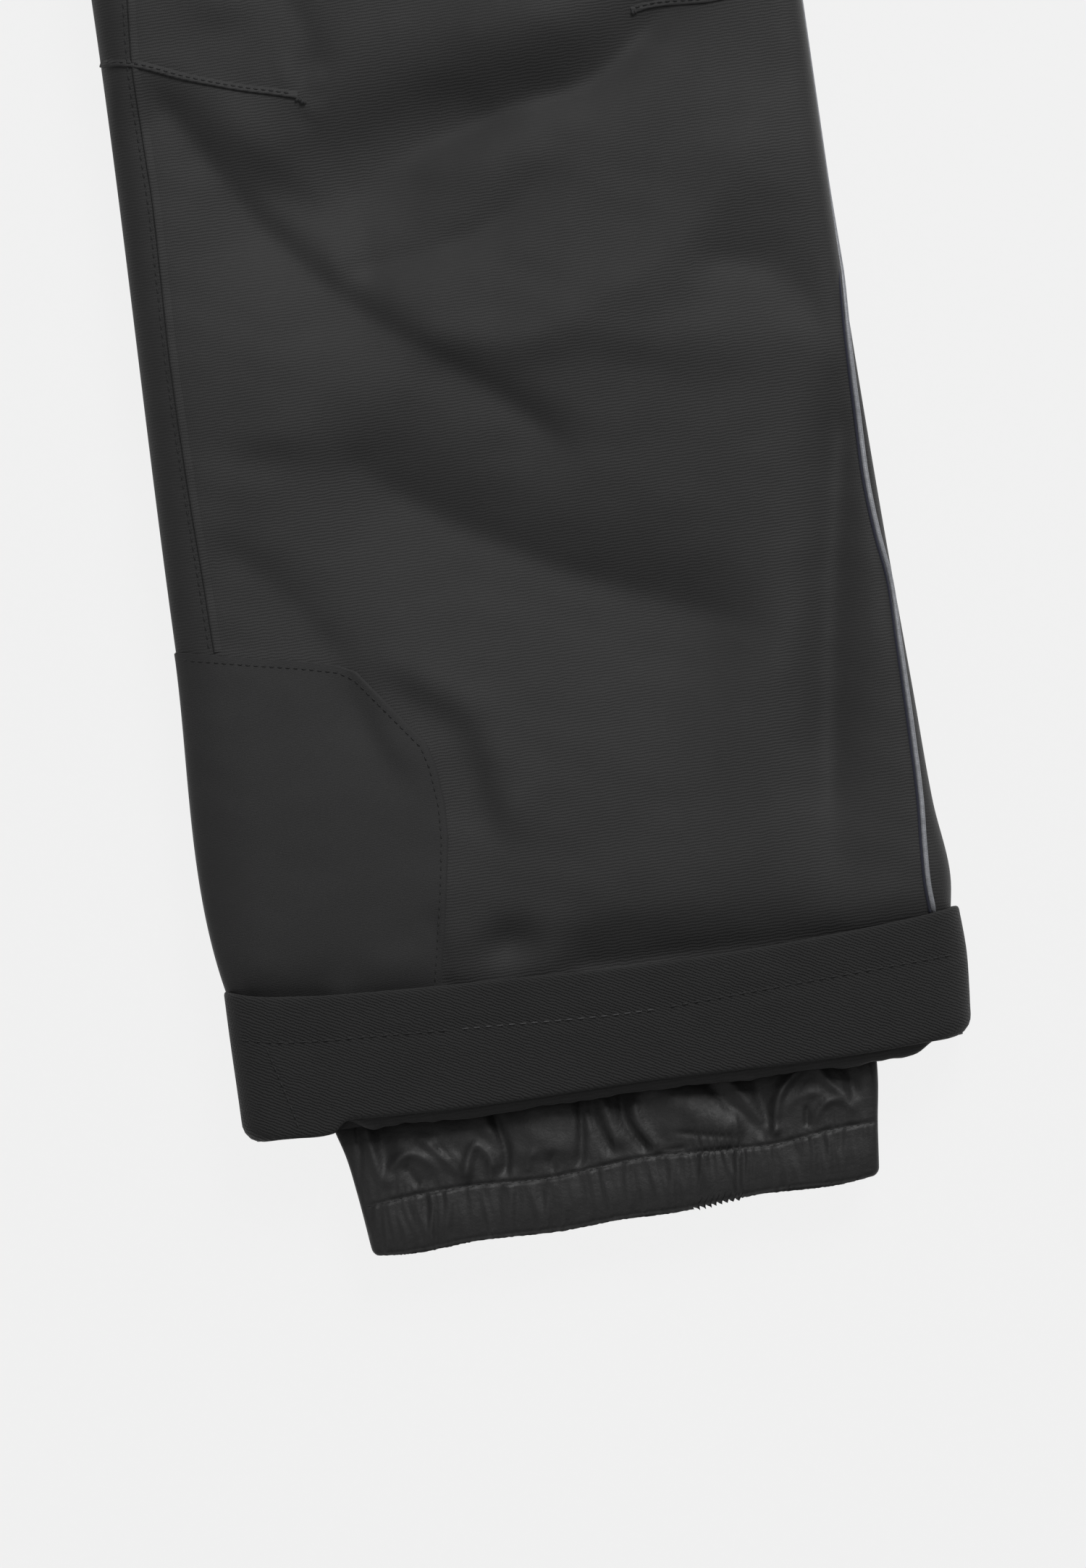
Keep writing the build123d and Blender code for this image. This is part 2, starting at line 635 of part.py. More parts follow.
# ---------------------------------------------------------------- hand pocket zips
def build_pocket_zips():
    zip_line = pocket_plane(0, POCKET_TAPE_Z).location
    slider_place = pocket_plane(POCKET_LENGTH - SLIDER_REST, POCKET_TAPE_Z).location
    save_pair(zip_tapes(POCKET_LENGTH, POCKET_TAPE_OUTER).moved(zip_line), "pocket_tapes")
    save_pair(zip_teeth(POCKET_LENGTH, 2.5).moved(zip_line), "pocket_teeth")
    save_pair(zip_slider().moved(slider_place), "pocket_slider")
    save_pair(zip_pull().moved(slider_place), "pocket_pull")


# ---------------------------------------------------------------- waist adjusters
def adjuster_tab():
    """A strap sewn down at its outer end, with a rounded free end towards the fly."""
    with BuildPart() as tab:
        z = (BAND_TOP + 1.0, BAND_TOP + 2.4)
        y = (TAB_Y - TAB_WIDTH / 2, TAB_Y + TAB_WIDTH / 2)
        add(block((TAB_TIP_X, TAB_HINGE_X - CENTRE_GAP), y, z))
        fillet(tab.edges().filter_by(Axis.Z).group_by(Axis.X)[0], 7.0)
    return tab.part


def adjuster_hooks():
    """The hook patch sewn under the strap's free end."""
    half = TAB_WIDTH / 2 - 1.5
    x = (TAB_TIP_X + 3.0, TAB_TIP_X + 29.0)
    return block(x, (TAB_Y - half, TAB_Y + half), (BAND_TOP + 0.6, BAND_TOP + 1.0))


def adjuster_patches():
    """Each side's loop patch on the band, and the sewn-down root of its strap."""
    patch_y = (TAB_Y - PATCH_WIDTH / 2, TAB_Y + PATCH_WIDTH / 2)
    root_y = (TAB_Y - TAB_WIDTH / 2, TAB_Y + TAB_WIDTH / 2)
    with BuildPart() as patches:
        for side in (1, -1):
            patch_x = (side * PATCH_NEAR_X, side * PATCH_FAR_X)
            root_x = (side * (TAB_HINGE_X + CENTRE_GAP), side * (TAB_HINGE_X + 8.0))
            add(block(patch_x, patch_y, (BAND_TOP, BAND_TOP + 0.5)))
            add(block(root_x, root_y, (BAND_TOP, BAND_TOP + 2.4)))
    return patches.part


def build_adjusters():
    save_pair(adjuster_tab(), "adjuster_tab")
    save_pair(adjuster_hooks(), "adjuster_hooks")
    save(adjuster_patches(), "adjuster_patches")


# ---------------------------------------------------------------- legs
def guard_outline():
    """The scuff guard's outline over the inner ankle, in leg coordinates, from the fold up."""
    inner = -ANKLE_WIDTH / 2
    beyond = inner - 10.0
    with BuildSketch(leg_top_plane()) as outline:
        with BuildLine():
            Polyline(
                (beyond, -1.0),
                (inner + GUARD_WIDTH, -1.0),
                (inner + GUARD_WIDTH, 85.0),
                (inner + GUARD_CORNER[0], GUARD_CORNER[1]),
                (inner + GUARD_SHOULDER[0], GUARD_SHOULDER[1]),
                (inner, GUARD_TOP),
                (beyond, GUARD_TOP),
                close=True,
            )
        make_face()
    return outline.sketch


def shin_shell(face, guard):
    """The lower leg's shell: all of it but the guard, or only the stretch the guard replaces."""
    with BuildPart() as shell:
        add(leg_layer(shin_stations(), face))
        cut = Mode.INTERSECT if guard else Mode.SUBTRACT
        extrude(guard_outline(), amount=40.0, dir=(0, 0, 1), mode=cut)
    return shell.part


def scuff_guard():
    """The tough panel round the inner ankle, front, edge and back in one piece."""
    with BuildPart() as guard:
        add(shin_shell("front", guard=True))
        add(shin_shell("back", guard=True))
    return guard.part


def piping():
    """Reflective piping proud of the outside leg seam, from the knee to the turned-up hem."""
    low, high = CUFF_HEIGHT + 4.0, SHIN_LENGTH - BODY_GAP
    offset = PIPING_RADIUS + 0.1
    middle = KNEE_HIGH / 2
    with BuildPart() as strip:
        for distance in (low, high):
            with BuildSketch(leg_plane(distance)):
                with Locations((leg_width(distance) / 2 + offset, middle + HEM_LIFT / 3)):
                    Circle(PIPING_RADIUS)
        loft(ruled=True)
    return strip.part


def cuff():
    """The turned-up hem, a sleeve round the end of the leg made of a front and a back half."""
    width = ANKLE_WIDTH + 2 * (CUFF_WALL + CUFF_SIDE_CLEAR)
    station = leg_station(0, width, 0, HEM_HIGH + CUFF_CLEAR + CUFF_WALL)
    with BuildPart() as sleeve:
        for face in ("front", "back"):
            profile = wall(station, 0, CUFF_WALL, face, "side")
            extrude(profile, amount=CUFF_HEIGHT, dir=-station.plane.z_dir)
    return sleeve.part


def gaiter_ring(outside, inside):
    """One layer of the gaiter's elastic channel, between two depths."""
    bottom = leg_station(-GAITER_DROP, GAITER_BOTTOM_WIDTH, BAND_LOW, BAND_HIGH)
    top_at = GAITER_BAND - GAITER_DROP
    top = leg_station(top_at, GAITER_BOTTOM_WIDTH + 5.0, BAND_LOW, BAND_HIGH)
    with BuildPart() as ring:
        for face in ("front", "back"):
            loft([wall(s, outside, inside, face, "side") for s in (bottom, top)], ruled=True)
    return ring.part


def gaiter():
    """The snow gaiter: a thin sleeve inside the leg and the two walls of its elastic channel."""
    join = GAITER_BAND - GAITER_DROP + CENTRE_GAP
    stations = [
        leg_station(join, GAITER_BOTTOM_WIDTH + 5.0, SLEEVE_LOW, SLEEVE_HIGH),
        leg_station(0, GAITER_FOLD_WIDTH, SLEEVE_LOW, SLEEVE_HIGH),
        leg_station(GAITER_INSIDE, GAITER_TOP_WIDTH, SLEEVE_TOP_LOW, SLEEVE_TOP_HIGH),
    ]
    with BuildPart() as sleeve:
        for face in ("front", "back"):
            loft([wall(s, 0, GAITER_WALL, face, "side") for s in stations], ruled=True)
        add(gaiter_ring(0, CHANNEL_OUTER))
        add(gaiter_ring(CHANNEL_INNER, CHANNEL_DEPTH))
    return sleeve.part


def build_legs():
    for face in ("front", "back"):
        save_pair(leg_layer(thigh_stations(), face), f"{face}_thigh")
        save_pair(shin_shell(face, guard=False), f"{face}_shin")
    save_pair(leg_lining(thigh_stations()), "thigh_lining")
    save_pair(leg_lining(shin_stations()[:2]), "shin_lining")
    save_pair(scuff_guard(), "scuff_guard")
    save_pair(piping(), "piping")
    save_pair(cuff(), "cuff")
    save_pair(gaiter(), "gaiter")
    save_pair(gaiter_ring(ELASTIC_FROM, ELASTIC_TO), "gaiter_elastic")


build_seat()
build_waistband()
build_fly()
build_pocket_zips()
build_adjusters()
build_legs()
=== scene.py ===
"""Child's ski trousers lying flat, front face up: fabric, seams, gathers and trims around the CAD frame."""

import json
import math
import random

import bmesh
import bpy
import numpy as np
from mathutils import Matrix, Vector

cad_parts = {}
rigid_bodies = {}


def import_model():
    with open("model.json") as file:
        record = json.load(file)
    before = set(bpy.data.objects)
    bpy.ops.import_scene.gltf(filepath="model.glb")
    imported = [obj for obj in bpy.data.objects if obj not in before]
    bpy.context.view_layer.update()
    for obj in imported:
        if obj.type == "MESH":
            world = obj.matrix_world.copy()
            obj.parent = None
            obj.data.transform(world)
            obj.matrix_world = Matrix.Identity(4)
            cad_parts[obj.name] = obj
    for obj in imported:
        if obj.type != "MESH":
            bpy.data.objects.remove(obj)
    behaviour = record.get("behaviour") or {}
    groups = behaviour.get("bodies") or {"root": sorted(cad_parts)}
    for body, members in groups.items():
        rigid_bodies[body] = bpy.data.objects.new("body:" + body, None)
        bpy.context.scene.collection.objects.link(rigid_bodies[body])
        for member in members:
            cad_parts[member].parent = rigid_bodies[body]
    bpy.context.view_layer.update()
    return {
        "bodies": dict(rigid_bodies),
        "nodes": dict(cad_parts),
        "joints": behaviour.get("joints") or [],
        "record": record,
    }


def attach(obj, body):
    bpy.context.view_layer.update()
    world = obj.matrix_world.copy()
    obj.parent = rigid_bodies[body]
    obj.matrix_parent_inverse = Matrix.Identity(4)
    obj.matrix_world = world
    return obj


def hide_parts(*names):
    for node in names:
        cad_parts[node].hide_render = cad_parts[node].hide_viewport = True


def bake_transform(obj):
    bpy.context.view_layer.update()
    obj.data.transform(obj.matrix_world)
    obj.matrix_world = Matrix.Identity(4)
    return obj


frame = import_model()

MM = 0.001
CROTCH_Y = 188.2
SPLAY = math.radians(8.7)
SIN, COS = math.sin(SPLAY), math.cos(SPLAY)
KNEE_V = 328.0  # the knee's fold line, measured up the leg from the fold of the hem
FOLD_X = 177.5 + KNEE_V * SIN
FOLD_Y = CROTCH_Y - 261.0 - KNEE_V * COS
SPLIT_V = 400.0  # the leg's two lengths of fabric meet here
SIDES = (("left", 1), ("right", -1))


# ---------------------------------------------------------------- materials
class Nodes:
    """A material's node tree, built by short calls."""

    def __init__(self, name):
        self.material = bpy.data.materials.new(name)
        self.material.use_nodes = True
        self.tree = self.material.node_tree
        self.shader = self.tree.nodes["Principled BSDF"]

    def add(self, kind, values=None, **settings):
        node = self.tree.nodes.new(kind)
        for key, value in settings.items():
            setattr(node, key, value)
        for key, value in (values or {}).items():
            node.inputs[key].default_value = value
        return node

    def join(self, source, target):
        self.tree.links.new(source, target)

    def feed(self, node, key, source):
        if hasattr(source, "is_linked"):
            self.join(source, node.inputs[key])
        else:
            node.inputs[key].default_value = source

    def math(self, operation, a, b=0.0, c=None):
        node = self.add("ShaderNodeMath", operation=operation)
        self.feed(node, 0, a)
        self.feed(node, 1, b)
        if c is not None:
            self.feed(node, 2, c)
        return node.outputs[0]

    def cloth_map(self):
        """The cloth's own coordinates in millimetres: x along the weft, y along the warp."""
        uv = self.add("ShaderNodeUVMap", uv_map="cloth")
        parts = self.add("ShaderNodeSeparateXYZ")
        self.join(uv.outputs[0], parts.inputs[0])
        return uv.outputs[0], parts.outputs[0], parts.outputs[1]

    def noise(self, vector, scale, detail=2.0, roughness=0.5):
        node = self.add(
            "ShaderNodeTexNoise",
            {"Scale": scale, "Detail": detail, "Roughness": roughness},
        )
        self.join(vector, node.inputs["Vector"])
        return node.outputs[0]

    def ramp(self, value, low, high, out_low, out_high):
        node = self.add("ShaderNodeMapRange")
        self.feed(node, 0, value)
        for key, number in zip((1, 2, 3, 4), (low, high, out_low, out_high)):
            node.inputs[key].default_value = number
        return node.outputs[0]

    def grey(self, tone):
        """A grey of the given tone."""
        node = self.add("ShaderNodeCombineColor")
        for channel in range(3):
            self.join(tone, node.inputs[channel])
        return node.outputs[0]

    def tint(self, base, tone):
        """Base colour scaled by a tone."""
        value = self.grey(tone)
        node = self.add("ShaderNodeMix", data_type="RGBA", blend_type="MULTIPLY")
        node.inputs[0].default_value = 1.0
        node.inputs[6].default_value = (*base, 1)
        self.join(value, node.inputs[7])
        self.join(node.outputs[2], self.shader.inputs["Base Color"])

    def bump(self, height, strength, distance, normal=None):
        node = self.add("ShaderNodeBump", {"Strength": strength, "Distance": distance})
        self.join(height, node.inputs["Height"])
        if normal is not None:
            self.join(normal, node.inputs["Normal"])
        return node.outputs[0]

    def surface(self, roughness, specular=0.3, sheen=0.0, sheen_roughness=0.5, **others):
        values = {
            "Roughness": roughness,
            "Specular IOR Level": specular,
            "Sheen Weight": sheen,
            "Sheen Roughness": sheen_roughness,
        }
        values.update(others)
        for key, value in values.items():
            self.shader.inputs[key].default_value = value


def ribbed_cloth(name, base, rib_pitch, rib_angle, cross_pitch, relief, mottle, **surface):
    """Woven cloth: ribs one way, finer threads across them, slubs and a slow change of tone."""
    n = Nodes(name)
    vector, across, along = n.cloth_map()
    turn_cos, turn_sin = math.cos(rib_angle), math.sin(rib_angle)
    over = n.math("MULTIPLY_ADD", along, turn_sin, n.math("MULTIPLY", across, turn_cos))
    up = n.math("MULTIPLY_ADD", along, turn_cos, n.math("MULTIPLY", across, -turn_sin))
    wander = n.math("MULTIPLY", n.noise(vector, 0.35, 2.0), 1.1)
    rib_phase = n.math("MULTIPLY", n.math("ADD", up, wander), 2 * math.pi / rib_pitch)
    cross_phase = n.math("MULTIPLY", over, 2 * math.pi / cross_pitch)
    rib = n.math("SINE", rib_phase)
    cross = n.math("SINE", n.math("MULTIPLY_ADD", rib, 1.1, cross_phase))
    weave = n.math("MULTIPLY_ADD", cross, 0.4, rib)
    slub = n.noise(vector, 1.6, 3.0, 0.65)
    height = n.math("MULTIPLY_ADD", slub, 1.6, weave)
    slow = n.noise(vector, 0.045, 3.0, 0.6)
    tone = n.math("MULTIPLY_ADD", n.math("SUBTRACT", slow, 0.5), mottle, 1.0)
    tone = n.math("MULTIPLY_ADD", n.math("SUBTRACT", slub, 0.5), 0.34, tone)
    tone = n.math("MULTIPLY_ADD", weave, 0.09, tone)
    n.tint(base, tone)
    n.join(n.bump(height, 1.0, relief * MM), n.shader.inputs["Normal"])
    n.surface(**surface)
    return n.material


def shiny_nylon(name):
    """Thin coated nylon: a fine even weave under a soft sheen, with tiny creases."""
    n = Nodes(name)
    vector, across, along = n.cloth_map()
    warp = n.math("SINE", n.math("MULTIPLY", across, 2 * math.pi / 0.28))
    weft = n.math("SINE", n.math("MULTIPLY", along, 2 * math.pi / 0.28))
    weave = n.math("MULTIPLY", n.math("ADD", warp, weft), 0.02)
    crumple = n.noise(vector, 0.55, 4.0, 0.6)
    height = n.math("ADD", crumple, weave)
    tone = n.ramp(n.noise(vector, 0.2, 3.0), 0.25, 0.75, 0.8, 1.2)
    n.tint((0.0113, 0.0112, 0.0113), tone)
    rough = n.ramp(crumple, 0.3, 0.7, 0.50, 0.64)
    n.join(rough, n.shader.inputs["Roughness"])
    n.join(n.bump(height, 0.6, 0.35 * MM), n.shader.inputs["Normal"])
    n.shader.inputs["Specular IOR Level"].default_value = 0.32
    return n.material


def plain_thread(name, base):
    """Twisted thread or braid."""
    n = Nodes(name)
    vector, across, along = n.cloth_map()
    lay = n.math("SINE", n.math("MULTIPLY", n.math("ADD", across, along), 2 * math.pi / 0.35))
    fuzz = n.noise(vector, 3.0, 2.0)
    tone = n.math("MULTIPLY_ADD", fuzz, 0.5, 0.75)
    n.tint(base, tone)
    n.join(n.bump(lay, 0.6, 0.06 * MM), n.shader.inputs["Normal"])
    n.surface(0.7, 0.3, 0.08)
    return n.material


def reflective(name):
    """Pale grey reflective film on cloth, with a fine cross weave and small scuffs."""
    n = Nodes(name)
    vector, _, along = n.cloth_map()
    weave = n.math("SINE", n.math("MULTIPLY", along, 2 * math.pi / 0.5))
    wear = n.noise(vector, 0.5, 3.0, 0.6)
    tone = n.ramp(wear, 0.3, 0.75, 1.12, 0.72)
    n.tint((0.175, 0.18, 0.195), tone)
    n.join(n.bump(weave, 0.5, 0.04 * MM), n.shader.inputs["Normal"])
    n.surface(0.38, 0.5, 0.0)
    return n.material


def fuzzy(name, base):
    """Looped and hooked pile, a bristle in every small cell."""
    n = Nodes(name)
    where = n.add("ShaderNodeTexCoord")
    cells = n.add("ShaderNodeTexVoronoi", {"Scale": 1500.0})
    n.join(where.outputs["Object"], cells.inputs["Vector"])
    fuzz = n.noise(where.outputs["Object"], 900.0, 4.0, 0.7)
    height = n.math("MULTIPLY_ADD", fuzz, 0.6, cells.outputs["Distance"])
    tone = n.ramp(fuzz, 0.3, 0.7, 0.7, 1.35)
    n.tint(base, tone)
    n.join(n.bump(height, 1.0, 0.35 * MM), n.shader.inputs["Normal"])
    n.surface(0.9, 0.2, 0.2)
    return n.material


def moulded(name, base, roughness, metallic):
    """Moulded plastic or painted metal with faint flow marks and rubbed spots."""
    n = Nodes(name)
    where = n.add("ShaderNodeTexCoord")
    marks = n.noise(where.outputs["Object"], 350.0, 4.0, 0.6)
    rub = n.noise(where.outputs["Object"], 90.0, 2.0)
    tone = n.ramp(rub, 0.35, 0.7, 0.85, 1.25)
    n.tint(base, tone)
    n.join(n.ramp(marks, 0.3, 0.7, roughness * 0.8, roughness * 1.3), n.shader.inputs["Roughness"])
    n.join(n.bump(marks, 0.4, 0.03 * MM), n.shader.inputs["Normal"])
    n.shader.inputs["Metallic"].default_value = metallic
    return n.material


SHELL = ribbed_cloth(
    "shell cloth", (0.0157, 0.0156, 0.0157), 0.95, 0.0, 0.55, 0.035, 0.30,
    roughness=0.72, specular=0.30, sheen=0.05, sheen_roughness=0.45,
)
GUARD = ribbed_cloth(
    "guard cloth", (0.0160, 0.0159, 0.0161), 0.42, 0.0, 0.42, 0.02, 0.2,
    roughness=0.78, specular=0.28, sheen=0.05, sheen_roughness=0.5,
)
GAITER = shiny_nylon("gaiter nylon")
LINING = ribbed_cloth(
    "quilted lining", (0.020, 0.020, 0.022), 0.34, 0.0, 0.34, 0.012, 0.2,
    roughness=0.55, specular=0.4, sheen=0.05, sheen_roughness=0.4,
)
WEBBING = ribbed_cloth(
    "strap webbing", (0.013, 0.013, 0.0135), 1.1, 0.0, 1.3, 0.10, 0.2,
    roughness=0.6, specular=0.35, sheen=0.05, sheen_roughness=0.5,
)
ZIP_TAPE = ribbed_cloth(
    "zip tape", (0.013, 0.013, 0.0135), 0.7, 0.0, 0.9, 0.07, 0.15,
    roughness=0.7, specular=0.3, sheen=0.05, sheen_roughness=0.5,
)
LABEL = ribbed_cloth(
    "label satin", (0.30, 0.30, 0.31), 0.3, 0.0, 0.3, 0.01, 0.1,
    roughness=0.45, specular=0.4, sheen=0.1, sheen_roughness=0.4,
)
HOOKS = fuzzy("hook and loop", (0.011, 0.011, 0.0115))
COIL = moulded("zip coil", (0.012, 0.012, 0.0125), 0.35, 0.0)
SLIDER = moulded("painted zip slider", (0.014, 0.014, 0.0145), 0.32, 0.35)
SNAP = moulded("dark snap", (0.055, 0.055, 0.058), 0.28, 1.0)
THREAD = plain_thread("black thread", (0.0115, 0.0115, 0.0118))
# pale grey thread: the label's own stitching, and also a painted highlight on the middle run of the hem's stitches
PALE_THREAD_AND_PAINTED_HIGHLIGHT = plain_thread("grey thread and painted stitch highlight", (0.040, 0.040, 0.041))
PIPING_CLOTH = reflective("reflective piping")
BINDING = plain_thread("navy binding", (0.010, 0.011, 0.022))
TWILL = ribbed_cloth(
    "facing twill", (0.0127, 0.0127, 0.0128), 0.9, math.radians(-28), 0.8, 0.10, 0.35,
    roughness=0.85, specular=0.22, sheen=0.04, sheen_roughness=0.6,
)


# ---------------------------------------------------------------- leg coordinates and relief
def to_row(side, u, v):
    """Leg coordinates, across and up from the fold of the hem, to the row frame, in mm."""
    return side * (FOLD_X + u * COS - v * SIN), FOLD_Y + u * SIN + v * COS


def curve(table, x):
    """A smooth line through a short table of (place, value) pairs."""
    xs = np.array([p[0] for p in table], float)
    ys = np.array([p[1] for p in table], float)
    x = np.clip(np.asarray(x, float), xs[0], xs[-1])
    slope = np.gradient(ys, xs)
    i = np.clip(np.searchsorted(xs, x) - 1, 0, len(xs) - 2)
    span = xs[i + 1] - xs[i]
    t = (x - xs[i]) / span
    h1, h2 = 2 * t**3 - 3 * t**2 + 1, t**3 - 2 * t**2 + t
    h3, h4 = -2 * t**3 + 3 * t**2, t**3 - t**2
    return h1 * ys[i] + h2 * span * slope[i] + h3 * ys[i + 1] + h4 * span * slope[i + 1]


def smooth_path(points, count=60):
    """Points evenly placed along a smooth curve through a few control points."""
    p = np.array(points, float)
    if len(p) < 3:
        return p[0] + (p[-1] - p[0]) * np.linspace(0, 1, count)[:, None]
    steps = np.concatenate([[0], np.cumsum(np.linalg.norm(np.diff(p, axis=0), axis=1))])
    at = np.linspace(0, steps[-1], count)
    columns = [curve(list(zip(steps, p[:, k])), at) for k in range(p.shape[1])]
    return np.stack(columns, axis=1)


def from_path(u, v, points):
    """Each place's signed distance from a path, positive on its left, and its share along it."""
    path = smooth_path(points, 110)
    best = np.full(u.shape, 1e9)
    signed = np.zeros(u.shape)
    share = np.zeros(u.shape)
    total = len(path) - 1
    for i in range(total):
        a, b = path[i], path[i + 1]
        d = b - a
        length = math.hypot(*d)
        du, dv = u - a[0], v - a[1]
        t = np.clip((du * d[0] + dv * d[1]) / length**2, 0, 1)
        ru, rv = du - t * d[0], dv - t * d[1]
        distance = np.hypot(ru, rv)
        near = distance < best
        side = np.sign(d[0] * rv - d[1] * ru)
        best = np.where(near, distance, best)
        signed = np.where(near, distance * side, signed)
        share = np.where(near, (i + t) / total, share)
    return signed, share


def smooth_step(x):
    """0 below 0 and 1 above 1, easing between."""
    x = np.clip(x, 0, 1)
    return x * x * (3 - 2 * x)


def taper(share, start, end):
    """1 along the middle of a path, easing to 0 over a share of it at each end."""
    return smooth_step(share / max(start, 1e-6)) * smooth_step((1 - share) / max(end, 1e-6))


def near_path(u, v, points, reach, profile):
    """Heights given by a profile of a path's distance and share, and nothing beyond its reach."""
    u, v = np.broadcast_arrays(np.asarray(u, float), np.asarray(v, float))
    p = np.array(points, float)
    low, high = p.min(axis=0) - reach, p.max(axis=0) + reach
    near = (u > low[0]) & (u < high[0]) & (v > low[1]) & (v < high[1])
    h = np.zeros(u.shape)
    if near.any():
        h[near] = profile(*from_path(u[near], v[near], points))
    return h


def step_fold(u, v, points, height, width, reach, start=0.3, end=0.3):
    """Cloth stepping up across a line and easing away on both sides. Up is to the path's left."""
    def profile(d, share):
        return height * np.tanh(d / width) * np.exp(-((d / reach) ** 2)) * taper(share, start, end)
    return near_path(u, v, points, 3 * reach, profile)


def ridge(u, v, points, height, width, start=0.3, end=0.3):
    """A rounded ridge, or a hollow when the height is negative."""
    def profile(d, share):
        return height * np.exp(-((d / width) ** 2)) * taper(share, start, end)
    return near_path(u, v, points, 3 * width, profile)


def grain(u, v, size, seed):
    """Smooth repeatable unevenness of about the given size, between -1 and 1."""
    rng = random.Random(seed)
    total = np.zeros(np.shape(u))
    for _ in range(14):
        turn = rng.uniform(0, 2 * math.pi)
        wave = size * rng.uniform(0.7, 1.6)
        phase = rng.uniform(0, 2 * math.pi)
        total += np.sin((u * math.cos(turn) + v * math.sin(turn)) * 2 * math.pi / wave + phase)
    return total / 5.5


INNER_EDGE = [(-60, -108), (0, -108.2), (40, -109.6), (50, -111.4), (150, -110.7), (350, -106.1), (420, -106.2)]
OUTER_EDGE = [
    (-60, 106), (0, 107.2), (36, 109.0), (46, 110.6), (71, 108.9), (104, 108.1), (161, 106.7), (231, 105.9),
    (318, 106.4), (420, 107.0),
]
INSEAM = [(0, -100), (150, -98.9), (223, -99.0), (238, -98.7), (286, -96.8), (326, -96.6), (348, -94.8), (420, -94.6)]


def crease(u, v, points, depth, left, right, soft=1.5, start=0.3, end=0.3):
    """A crisp-bottomed crease, rising over its own width on each side of the path."""
    def profile(d, share):
        away = (np.sqrt(d**2 + soft**2) - soft) / np.where(d > 0, left, right)
        return -depth * np.exp(-(away**1.25)) * taper(share, start, end)
    return near_path(u, v, points, 4.5 * max(left, right), profile)


RISE = (0.5, 0.87)  # across and up the leg, the way its cloth mostly leans


def lean(u, v, centre, long, short, turn, slope):
    """A broad oval patch of cloth rising up and out, or falling when the slope is negative."""
    du, dv = u - centre[0], v - centre[1]
    c, s = math.cos(math.radians(turn)), math.sin(math.radians(turn))
    a, b = (du * c + dv * s) / long, (-du * s + dv * c) / short
    return slope * (du * RISE[0] + dv * RISE[1]) * np.exp(-(a**2 + b**2))


def swell(u, v, centre, height, long, short, turn=0):
    """An oval swelling, or a dimple when the height is negative."""
    du, dv = u - centre[0], v - centre[1]
    c, s = math.cos(math.radians(turn)), math.sin(math.radians(turn))
    return height * np.exp(-(((du * c + dv * s) / long) ** 2) - (((-du * s + dv * c) / short) ** 2))


FRONT_CREASES = (
    # path, depth, width on its left and right, softness, ease in, ease out
    # long creases running down and out from the inside knee
    ([(-97, 326), (-82, 300), (-62, 268), (-42, 245), (-22, 227), (-1, 210), (11, 197), (21, 183)],
     4.4, 6.5, 20, 1.0, 0.1, 0.15),
    ([(-62, 218), (-50, 198), (-30, 181), (0, 161), (40, 141), (76, 124)], 8.4, 17, 38, 1.4, 0.25, 0.22),
    ([(-99, 186), (-84, 170), (-66, 145), (-53, 112), (-43, 95)], 2.6, 7, 22, 2.0, 0.15, 0.35),
    # hollows and a ridge fanning out from the inside knee
    ([(-36, 284), (-14, 290), (14, 298), (40, 303), (62, 318), (84, 330)], 9.0, 30, 9, 1.2, 0.35, 0.25),
    ([(-48, 256), (-24, 257), (0, 262), (22, 276), (40, 292)], 4.0, 13, 7, 1.0, 0.15, 0.5),
    ([(-42, 243), (-22, 233), (0, 226), (30, 234), (58, 248), (80, 272), (102, 294)],
     -3.0, 10, 18, 1.5, 0.15, 0.2),
    ([(-50, 350), (-44, 330), (-38, 308)], 1.4, 4, 9, 1.2, 0.1, 0.3),
    # soft upright fold near the outside seam, turning in at its top
    ([(56, 241), (76, 241), (91, 230), (99, 209), (99, 190)], 2.4, 11, 8, 1.5, 0.2, 0.4),
    ([(100, 216), (97, 184), (89, 145), (81, 98), (77, 66), (75, 40)], 7.0, 9, 9, 1.5, 0.18, 0.35),
)
FRONT_STEPS = (
    # path, height, width, reach, ease in, ease out
    ([(-56, 139), (-40, 127), (-27, 114), (-23, 95), (-19, 73)], 1.7, 4.5, 12, 0.25, 0.2),
    ([(-62, 138), (-52, 112), (-42, 94)], 0.8, 3.4, 9, 0.3, 0.3),
)
FRONT_LEANS = (
    # centre, half length, half width, turn in degrees, slope
    ((-60, 290), 24, 7, -50, 0.20),
    ((-2, 304), 48, 20, 22, 0.5),
    ((-14, 280), 24, 13, 14, 0.28),
    ((44, 217), 36, 9, -6, 0.14),
    ((-62, 236), 20, 13, 10, -0.08),
    ((-72, 206), 15, 7, -10, 0.18),
    ((-72, 336), 14, 8, 10, 0.15),
)
FRONT_RIDGES = (
    # path, height, width, ease in, ease out
    # the back's cloth, wrapped round the inner edge, falls away beside its seam
    ([(-114, 420), (-113, 300), (-115, 36)], -4.2, 11, 0.01, 0.01),
    # cloth sinking into the turned-up hem
    ([(-14, 41), (8, 37), (42, 30), (78, 20)], -3.4, 12.0, 0.15, 0.1),
    ([(-110, 42), (-92, 40), (-76, 38)], -2.0, 7, 0.2, 0.3),
    ([(-46, 64), (-45, 36)], -0.9, 2.4, 0.3, 0.1),
    # puckers at the end of the dart
    ([(-49, 308), (-42, 326)], -0.9, 2.6, 0.3, 0.6),
    ([(-49, 308), (-54, 330)], 0.5, 2.6, 0.3, 0.6),
    ([(-49, 308), (-40, 300)], 0.6, 2.6, 0.3, 0.6),
    ([(-49, 308), (-47, 298)], -0.7, 2.6, 0.3, 0.6),
    ([(-49, 308), (-35, 312)], -0.5, 2.6, 0.3, 0.6),
)
FRONT_SWELLS = (
    # centre, height, half length, half width
    ((-24, 48), -3.4, 8.5, 7.0),
    ((-60, 46), 1.4, 10, 6),
    ((92, 42), 2.0, 26, 9),
)
